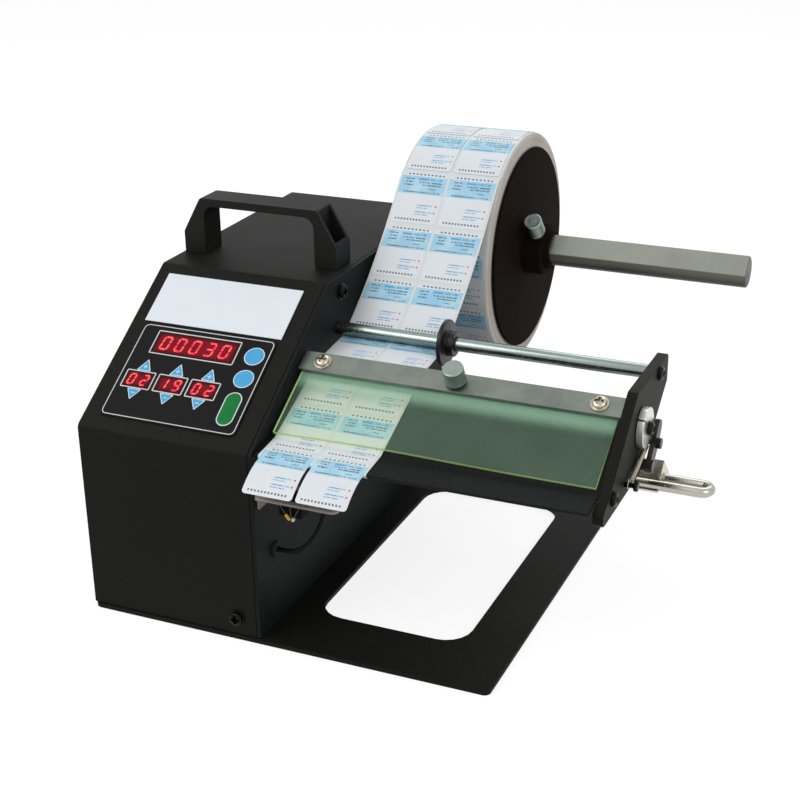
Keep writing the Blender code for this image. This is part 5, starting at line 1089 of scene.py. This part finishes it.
def springPath():
    # hook, helix c + R (cos 2 pi n across + sin 2 pi n x), and hook, on the line between the posts
    low = np.array((spring["x"], *middleOf("lower_spring_post")[1:]))
    high = np.array((spring["x"], *spring["top"]))
    way = (high - low) / np.linalg.norm(high - low)
    side = np.array((1.0, 0, 0))
    across = np.cross(way, side)
    eye = spring["post"] + spring["slack"] + spring["wire"]
    lead = eye + spring["pitch"]
    length = np.linalg.norm(high - low) - 2 * lead
    turns = round(length / spring["pitch"])
    n = np.linspace(0, turns, turns * 20 + 1)[:, None]
    helix = low + way * (lead + length * n / turns) + spring["coil"] * (
        np.cos(2 * np.pi * n) * across + np.sin(2 * np.pi * n) * side)
    a = np.linspace(math.radians(-60), math.radians(200), spring["hook"])[:, None]
    lower = low - eye * (np.sin(a) * way + np.cos(a) * across)
    upper = high + eye * (np.sin(a) * way - np.cos(a) * across)
    path = np.concatenate((lower, helix, upper[::-1]))
    place, begin, ease = np.arange(len(path))[:, None], spring["hook"] - 4, 8
    # the tube's up vector swings over eight points where a hook meets the helix
    share = np.clip((place - begin) / ease, 0, 1) * np.clip((len(path) - 1 - begin - place) / ease, 0, 1)
    return path, share * way + (1 - share) * side


path, ups = springPath()
piece = swept("spring_wire", path, spring["wire"], ups, 8)
piece.data.materials.append(nickel.material)
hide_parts("tension_spring")
# the spring's eyes stay on their posts, and its coils turn smoothly between them
lowerHook, upperHook = path[:spring["hook"]].mean(0), path[-spring["hook"]:].mean(0)
grip = (upperHook - lowerHook) * spring["grip"]
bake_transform(piece, "frame", "pinch_lever", start=tuple(world(lowerHook + grip)),
         end=tuple(world(upperHook - grip)))
print("rods, rollers, clip and spring made")

# Supply roll and the wound liner; web, turn and labels are radii round the spindle, and before it leaves
# the roll the web lies deeper by settle over a length of lead
roll = {"radius": 74.5, "bore": 22.8, "edge": 1.6, "web": 74.9, "turn": 75.4, "labels": 74.85,
        "settle": 0.36, "lead": 12}
linerRoll = {"bore": 14.1, "edge": 0.5}


def woundLook(name, centre, pale, dark, pitch):
    # cut edges of wound paper: rings of even pitch with slow bands
    look = Look(name, "paper")
    away = look.fromAxis(centre)
    fine, slow = (look.node("TexNoise", {"noise_dimensions": "1D"}, {"W": away * rate, "Scale": 1.0,
                                                                     "Detail": detail})
                  for rate, detail in ((2.2 / pitch, 2.0), (0.16, 3.0)))
    stain = look.noise(26, 3, 0.55)
    colour = look.blend(look.ramp(slow * 0.6 + stain * 0.4, 0.3, 0.7), ink(*dark), ink(*pale))
    colour = look.blend(look.ramp(fine, 0.45, 0.75) * 0.35, colour, shade(dark, 0.72))
    return look.finish({"Base Color": colour, "Roughness": 0.62 + 0.1 * fine, "Specular IOR Level": 0.25},
                       fine, 0.00012, 0.35)


low, high = span("label_roll")
profile = ringProfile(high[0] - low[0], roll["bore"], roll["radius"], roll["edge"], 6)
rollSide = woundLook("wound_labels", spindleAxis, (222, 219, 214), (190, 182, 170), 0.55)
piece = turned("roll_body", profile, (low[0], *spindleAxis), sides=256, closed=True)
settle(piece, [rollSide, linerPaper], ["label_roll"])
facing = np.array([abs(face.normal.x) < 0.3 for face in piece.data.polygons])  # the wound faces look along x
piece.data.polygons.foreach_set("material_index", facing.astype(np.int32))

long, reelRadius, start = lyingOn("liner_roll")
linerWound = woundLook("wound_liner", start[1:], (214, 216, 212), (186, 186, 178), 0.4)
profile = ringProfile(long, linerRoll["bore"], reelRadius, linerRoll["edge"])
settle(turned("liner_body", profile, start, sides=96, closed=True), linerWound, ["liner_roll"])

# The paper's path in the side view, as (y, z); it is the labels' outer face, and left is how far that lies
# off what carries the web
stops = {"nose": (3.2, 120.4), "bend": (23.0, 122.5), "rear": (62.0, 139.2), "drive": (78.0, 138.9),
         "rod": (114.5, 156.5), "rewind": (113.2, 93.0), "left": 0.7, "sag": 5.5, "loop": 10.0, "nip": 42.5,
         "driveRadius": 9.0, "rodSide": 4.3, "noseRound": 1.0, "tieRadius": 3.0, "tieAlong": 3.0,
         "tieUnder": 5.3}


def normalTo(first, second):
    run = (second - first) / np.linalg.norm(second - first)
    return np.array((-run[1], run[0]))


def runBetween(first, sideFirst, second, sideSecond):
    # ends of the straight run that passes two circles, whose centres lie to the left of it by their sides
    way = second - first
    lean = math.acos((sideSecond - sideFirst) / np.linalg.norm(way))
    angle = math.atan2(way[1], way[0]) + lean
    normal = np.array((math.cos(angle), math.sin(angle)))
    return first - normal * sideFirst, second - normal * sideSecond


def wrapped(centre, start, end, steps=16):
    # arc round a centre from one point on it to another, the shorter way
    first, last = start - centre, end - centre
    swing = math.atan2(first[0] * last[1] - first[1] * last[0], first @ last)
    angle = math.atan2(first[1], first[0]) + np.linspace(0, swing, steps)
    return centre + np.linalg.norm(first) * np.stack((np.cos(angle), np.sin(angle)), -1)


def paperPath():
    # roll, guide rod, drive roller, table, nose, tie rod, nip, slack loop and liner reel in turn
    point = {key: np.array(value) for key, value in stops.items() if isinstance(value, tuple)}
    nose, bend, rear, drive, rod = (point[key] for key in ("nose", "bend", "rear", "drive", "rod"))
    left, under, noseRound, loopRadius = (stops[key] for key in ("left", "rodSide", "noseRound", "loop"))
    over, tieSide, rollSide = stops["driveRadius"] + left, stops["tieRadius"] + left, roll["web"] + left
    tip = nose + (noseRound, 0)
    tipNormal, rearNormal = normalTo(tip, bend), normalTo(bend, rear)
    table = [tip + tipNormal * left, bend + left * (tipNormal + rearNormal) / (1 + tipNormal @ rearNormal),
             rear + rearNormal * left]
    rodEnd, driveStart = runBetween(rod, -under, drive, over)
    driveEnd, rearPoint = runBetween(drive, over, table[2], 0)
    start, end = runBetween(spindleAxis, rollSide, rod, -under)
    slant = np.array((0, 4 * stops["sag"]))
    for _ in range(6):  # the sagging run stays on the roll and under the rod
        chord = end - start
        start = spindleAxis - normalTo(slant, chord) * rollSide
        end = rod + normalTo(-slant, chord) * under
    s = np.linspace(0, 1, 60)[:, None]
    run = start + (end - start) * s - slant * s * (1 - s)
    centre = tip - tipNormal * noseRound
    front = centre - (noseRound + left, 0)
    along = (rear - bend) / np.linalg.norm(rear - bend)
    tie = bend + stops["tieAlong"] * along - stops["tieUnder"] * rearNormal
    noseEnd, tieStart = runBetween(centre, noseRound + left, tie, tieSide)
    tieEnd, below = runBetween(tie, tieSide, drive, over)
    nipWay = math.radians(stops["nip"])
    outward = np.array((math.cos(nipWay), -math.sin(nipWay)))
    nip = drive + outward * over
    loop = nip + outward * loopRadius
    loopEnd, last = runBetween(loop, -loopRadius, point["rewind"], reelRadius + left)
    crest = loop + (0, loopRadius)
    return np.concatenate((run, wrapped(rod, run[-1], rodEnd), wrapped(drive, driveStart, driveEnd),
                           [rearPoint], table[1:2], wrapped(centre, table[0], front, 8),
                           wrapped(centre, front, noseEnd, 8), [tieStart], [tieEnd],
                           wrapped(drive, below, nip), wrapped(loop, nip, crest),
                           wrapped(loop, crest, loopEnd), [last]))


def measured(path):
    # the length of a path up to each of its points, and the points without their doubles
    path = path[np.append(True, np.linalg.norm(np.diff(path, axis=0), axis=1) > 1e-6)]
    return runLengths(path), path


pathLength, pathPoints = measured(paperPath())
rollTangent = pathPoints[0]


def squareTo(s, depth, length, points, step):
    # the point at length s, moved by depth square to the chord from s - step to s + step
    at = [[np.interp(s + shift, length, points[:, k]) for k in (0, 1)] for shift in (-step, 0, step)]
    runY, runZ = at[2][0] - at[0][0], at[2][1] - at[0][1]
    size = np.maximum(np.hypot(runY, runZ), 1e-9)
    return at[1][0] - runZ / size * depth, at[1][1] + runY / size * depth


def roundRoll(s, radius):
    # the point at a radius round the spindle, length s on from where the web leaves the roll
    offset = rollTangent - spindleAxis
    angle = math.atan2(offset[1], offset[0]) + s / roll["turn"]
    return spindleAxis[0] + radius * np.cos(angle), spindleAxis[1] + radius * np.sin(angle)


def onPath(s, depth):
    # point of the path at length s and its depth below the label side; before 0 it runs back round the roll
    s, depth = np.broadcast_arrays(np.asarray(s, float), depth)
    settled = roll["settle"] * np.clip(-s / roll["lead"], 0, 1)
    wound = roundRoll(s, np.linalg.norm(rollTangent - spindleAxis) - settled - depth)
    run = squareTo(s, depth, pathLength, pathPoints, 0.6)
    return [np.where(s < 0, *pair) for pair in zip(wound, run)]


def onRoll(s, depth):
    # the same on the roll alone, right round it
    return roundRoll(s, roll["labels"] - depth + 0 * s)


labels = {"wide": 30.4, "tall": 35.6, "corner": 2.0, "depth": 0.02, "wall": 0.14, "first": 221.8,
          "pitch": 38.6, "columns": (118.6, 150.9), "webRows": range(1, 7), "rollRows": range(7, 18)}


def patch(left, top, place):
    # a label with round corners: half width w(v) = W/2 - r + sqrt(r^2 - (r - v)^2) near its ends
    wide, tall, r = labels["wide"], labels["tall"], labels["corner"]
    ease = np.sin(np.linspace(0, np.pi / 2, 6)) * r
    v = np.concatenate((r - ease[::-1], np.linspace(r, tall - r, 26)[1:-1], tall - r + ease))
    near = np.clip(r - np.minimum(v, tall - v), 0, r)
    half = wide / 2 - r + np.sqrt(r * r - near * near)
    x = left + wide / 2 + half[:, None] * np.linspace(-1, 1, 9)
    along = v[:, None] + 0 * x
    sides = [np.stack((x, *place(top + along, labels["depth"] + wall)), -1) for wall in (0.0, labels["wall"])]
    return *sides, np.stack((x - left, along), -1) / mapUnit


def laid(rows, place):
    # the tops, bottoms and maps of the labels in these rows of both columns
    return map(list, zip(*(patch(left, labels["first"] - labels["pitch"] * k, place)
                           for k in rows for left in labels["columns"])))
printRows = {
    # each row: x from, x to, v from, v to, pitch, seed or None for even ticks, share of gaps
    "dark": [(2.4, 28.0, 0.6, 1.7, 2.56, None, 0), (12.5, 27.6, 6.5, 7.4, 0.52, 2, 0.46),
             (15.0, 27.6, 8.3, 9.2, 0.5, 3, 0.47), (3.0, 8.6, 4.3, 5.1, 0.6, 4, 0.45),
             (3.0, 8.6, 6.5, 7.3, 0.6, 5, 0.45), (3.0, 8.6, 8.7, 9.5, 0.6, 6, 0.45),
             (20.0, 24.5, 11.0, 11.7, 0.5, 7, 0.44), (3.0, 28.0, 13.5, 14.3, 0.5, 8, 0.45),
             (3.0, 27.6, 32.4, 33.7, 2.05, None, 0)],
    "blue": [(11.5, 27.6, 3.9, 5.3, 0.8, 11, 0.4), (15.0, 25.6, 22.4, 23.2, 0.55, 12, 0.44),
             (15.0, 22.6, 24.2, 24.9, 0.55, 13, 0.46), (15.0, 26.6, 27.0, 27.8, 0.55, 14, 0.44),
             (15.0, 23.6, 28.8, 29.5, 0.55, 15, 0.46)],
    "red": [(27.3, 28.4, 22.3, 23.4), (27.3, 28.4, 26.9, 28.0)],
}


def labelLook():
    # printed label: a light blue band, rows of dark and blue ticks, two red dots, all plain shapes
    look = Look("label_print", "paper")
    x, v = look.sheetPlace()

    def ticks(start, end, top, bottom, pitch, seed, share):
        row = look.between(v, top, bottom) * look.between(x, start, end)
        if seed is None:
            return row * (look.maths("FRACT", x * (1.0 / pitch)) > 0.45)
        source = look.node("CombineXYZ", None, {0: x * (1.0 / pitch), 1: seed * 7.3})
        noise = look.node("TexNoise", {"noise_dimensions": "2D"},
                          {"Vector": source, "Scale": 1.0, "Detail": 1.0})
        return row * look.ramp(noise, share - 0.04, share)

    mottle = look.noise(260, 2, 0.5)
    colour = look.blend(mottle, ink(223, 228, 232), ink(214, 220, 225))
    band = look.between(v, 2.6, 15.2, 0.06)
    wash = look.ramp(look.noise(90, 3, 0.6), 0.4, 0.65)
    colour = look.blend(band, colour, look.blend(wash, ink(152, 200, 226), ink(176, 215, 232)))
    for row in printRows["blue"]:
        colour = look.blend(ticks(*row) * 0.85, colour, ink(70, 150, 205))
    for row in printRows["dark"]:
        colour = look.blend(ticks(*row) * 0.85, colour, ink(44, 52, 66))
    for left, right, top, bottom in printRows["red"]:
        dot = look.between(v, top, bottom) * look.between(x, left, right)
        colour = look.blend(dot, colour, ink(222, 50, 54))
    fibres = look.noise(1800, 3, 0.6)
    return look.finish({"Base Color": colour, "Roughness": 0.34 + 0.12 * mottle, "Specular IOR Level": 0.4},
                       fibres, 0.00002, 0.15)


labelPaper = labelLook()
liner = {"top": 0.16, "bottom": 0.38}  # depths below the label side of the path
rows = np.concatenate((np.linspace(-roll["lead"], 0, 5)[:-1], np.linspace(0, pathLength[-1], 420)))
x = np.linspace(*np.array(span("label_web"))[:, 0], 5)
linerTops, linerBottoms = ([np.stack(np.broadcast_arrays(x, y[:, None], z[:, None]), -1)]
                           for y, z in (onPath(rows, liner["top"]), onPath(rows, liner["bottom"])))
chart = np.stack(np.meshgrid(rows, x, indexing="ij"), -1)[..., ::-1] / mapUnit
settle(shell("liner_sheet", linerTops, linerBottoms, [chart]), linerPaper, ["label_web"])
settle(shell("web_labels", *laid(labels["webRows"], onPath)), labelPaper, body="frame")
settle(shell("roll_labels", *laid(labels["rollRows"], onRoll)), labelPaper, body="supply_reel")

peel = {"start": 230.6, "slope": 0.106, "fall": 7.9, "reach": 21.8, "shift": 1.0}
peelY, peelZ = onPath(peel["start"], labels["depth"])
share = np.linspace(0, 1.25, 90)
peelRun = np.stack((peelY - peel["reach"] * share, peelZ - peel["reach"] * peel["slope"] * share
                    - peel["fall"] * share ** 2), -1)
peelLength = runLengths(peelRun) + peel["start"]


def offNose(s, depth):
    # on the web up to the nose, then straight on and down: z = a t + b t^2 over the reach
    off, web = squareTo(s, depth, peelLength, peelRun, 0.5), onPath(s, depth)
    return [np.where(s > peel["start"], *pair) for pair in zip(off, web)]


for node, left in zip(("peeled_label_left", "peeled_label_right"), labels["columns"]):
    top, bottom, chart = patch(left, labels["first"] - peel["shift"], offNose)
    settle(shell(node + "_piece", [top], [bottom], [chart]), labelPaper, [node])
print("roll, web and labels laid")

# Green hold-down plate
sheet = {"thick": 1.8, "foot": 24.2, "gap": 0.3, "knee": 2.5, "bow": 1.4, "bowAt": 0.34, "bowWide": 0.3,
         "bendRound": 6.0, "haze": 0.045, "bendHaze": 0.2, "bendReach": (13.0, 1.0), "mirror": 0.2}


def holdPlate():
    # side view foot, knee, tail with a round bend, carried along x; the foot edge bows up by a hump in x
    low, high = span("hold_down_plate")
    under = -(strip["thick"] + sheet["gap"] + sheet["thick"])
    tail = onStrip(0, strip["wide"] - sheet["gap"], under)[1:]
    knee = onStrip(0, -sheet["knee"], under)[1:]
    foot = np.array((sheet["foot"], low[2]))
    line = eased(np.stack((foot, knee, tail)), sheet["bendRound"], 14)
    line = np.concatenate((foot + (line[14] - foot) * np.linspace(0, 1, 16)[:-1, None], line[14:]))
    run = np.gradient(line, axis=0)
    run /= np.linalg.norm(run, axis=1, keepdims=True)
    normal = np.stack((-run[:, 1], run[:, 0]), -1)
    x = np.linspace(low[0], high[0], 49)
    across = (x - low[0]) / (high[0] - low[0])
    hump = sheet["bow"] * np.exp(-((across - sheet["bowAt"]) / sheet["bowWide"]) ** 2)
    fade = np.clip(1 - (line[:, 1] - foot[1]) / (knee[1] - foot[1]), 0, 1) ** 1.5
    rise = fade[:, None] * hump[None, :]
    sides = []
    for off in (sheet["thick"], 0.0):
        y, z = (line + normal * off).T
        sides.append(np.stack(np.broadcast_arrays(x[None, :], y[:, None], z[:, None] + rise), -1))
    chart = np.stack(np.meshgrid(runLengths(line), x - low[0], indexing="ij"), -1)[..., ::-1] / mapUnit
    return sides, chart, np.linalg.norm(knee - foot)


def acrylicLook(name, bend):
    # clear green sheet: tinted see-through with a little haze, more of it towards the bend, and a mirror
    # share that grows at a slant
    look = Look(name, "green_acrylic")
    along = look.sheetPlace()[1]
    cloud = look.noise(45, 3, 0.5)
    clear = look.node("BsdfTransparent", None, {"Color": (0.98, 0.985, 0.94)})
    milk = look.blend(cloud, ink(192, 246, 212), ink(206, 253, 224))
    milky = look.node("BsdfPrincipled", None, {"Base Color": milk, "Roughness": 0.4,
                                               "Specular IOR Level": 0.1})
    first, last = sheet["bendReach"]
    nearBend = look.ramp(along, bend - first, bend - last)
    share = sheet["haze"] + 0.02 * cloud + sheet["bendHaze"] * nearBend * nearBend
    body = look.node("MixShader", None, {0: share, 1: clear, 2: milky})
    scratch = look.ramp(look.noise(420, 3, 0.6, (0.05, 1, 1)), 0.6, 0.8)
    mirror = look.node("BsdfPrincipled", None, {"Base Color": (0.9, 0.94, 0.86), "Metallic": 1.0,
                                                "Roughness": 0.09 + 0.1 * scratch})
    slant = look.node("LayerWeight", None, {"Blend": 0.15}, "Fresnel")
    return look.close(look.node("MixShader", None, {0: slant * sheet["mirror"], 1: body, 2: mirror}))


def acrylicEdge(name):
    # sawn edge with a painted glow: its colour is also given out as a weak emission, standing in for the
    # light that the tint gathers
    look = Look(name, "green_acrylic")
    cloud = look.noise(45, 3, 0.5)
    colour = look.blend(cloud, ink(158, 200, 112), ink(196, 226, 150))
    # painted glow: the edge's own colour given out as emission
    return look.finish({"Base Color": colour, "Roughness": 0.3 + 0.1 * cloud, "Emission Color": colour,
                        "Emission Strength": 0.12}, look.noise(1500), 0.00003, 0.2)


(top, bottom), chart, bend = holdPlate()
piece = shell("green_plate", [top], [bottom], [chart], rimSlot=1)
settle(piece, [acrylicLook("clear_green", bend), acrylicEdge("green_edge_painted_glow")], ["hold_down_plate"])
print("green plate bent")

# Sensor with its lead and its three thin wires
dressed("sensor_head", sensorPlastic, 0.3)
headLow, headHigh = span("sensor_head")
headBody = frame["nodes"]["sensor_head"]["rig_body"]
lead = {"radius": 1.4, "sweep": 55.0, "side": 24.0, "steps": 24, "gap": 0.3, "topOff": 3.1,
        "out": (121.8, 23.4, 51.3), "inside": (103.4, 23.4, 51.3)}
wireGrey = glossyInk("wire_grey", "black_plastic", (84, 82, 80), 0.5, shine=0.1)
wires = {
    "radius": 0.34, "front": 0.45, "from": ((133.6, 97.4), (140.3, 97.4), (146.0, 97.4)),
    "meet": (141.0, 88.7), "apart": (0.9, 0.6, 0.5), "end": (138.0, 4.0, 0.1), "pitch": 2.0, "sleeve": 0.95,
    "sleeves": {0: (glossyInk("sleeve_yellow", "black_plastic", (226, 176, 30), 0.4), 0.22, 0.46),
                2: (glossyInk("sleeve_white", "black_plastic", (206, 214, 220), 0.4), 0.32, 0.5)},
}


def cubic(a, b, c, d, t):
    # P(t) = (1-t)^3 a + 3 (1-t)^2 t b + 3 (1-t) t^2 c + t^3 d
    t = t[:, None]
    return a * (1 - t) ** 3 + 3 * b * (1 - t) ** 2 * t + 3 * c * (1 - t) * t ** 2 + d * t ** 3


start = np.array(((headLow[0] + headHigh[0]) / 2, headHigh[1] + lead["gap"],
                  (headLow[2] + headHigh[2] - lead["topOff"]) / 2))
out = np.array(lead["out"])
route = cubic(start, start + (0, lead["sweep"], 0), out + (lead["side"], 0, 0), out,
              np.linspace(0, 1, lead["steps"]))
route = np.concatenate((route, [lead["inside"]]))
leadPiece = swept("lead_sheath", route, lead["radius"], (0, 0.3, 1))
settle(leadPiece, entryPlastic, ["sensor_lead"])

wireY = headLow[1] - wires["front"]
apartX, apartY, apartZ = wires["apart"]
for k, (x, z) in enumerate(wires["from"]):
    first = np.array((x, wireY, z))
    last = np.array((wires["end"][0] + wires["pitch"] * k, headLow[1] + wires["end"][1],
                     headLow[2] + wires["end"][2]))
    meet = np.array((wires["meet"][0] + (k - 1) * apartX, wireY - apartY,
                     wires["meet"][1] + abs(k - 1) * apartZ))
    pull = (meet - (first + last) / 8) * 4 / 3  # so that the middle of the curve is at the meeting point
    line = cubic(first, pull, pull, last, np.linspace(0, 1, 40))
    wire = swept("sensor_wire_%d" % k, line, wires["radius"], (0, 1, 0.2), 8)
    settle(wire, wireGrey, body=headBody)
    if k in wires["sleeves"]:
        look, begin, end = wires["sleeves"][k]
        part = cubic(first, pull, pull, last, np.linspace(begin, end, 8))
        sleeve = swept("wire_sleeve_%d" % k, part, wires["sleeve"], (0, 1, 0.2), 14)
        settle(sleeve, look, body=headBody)

grommet = {"bore": 1.7, "edge": 0.8}
long, radius, start = lyingOn("grommet")
profile = ringProfile(long, grommet["bore"], radius, grommet["edge"])
settle(turned("grommet_ring", profile, start, sides=48, closed=True), beltRubber, ["grommet"])
print("sensor wired")
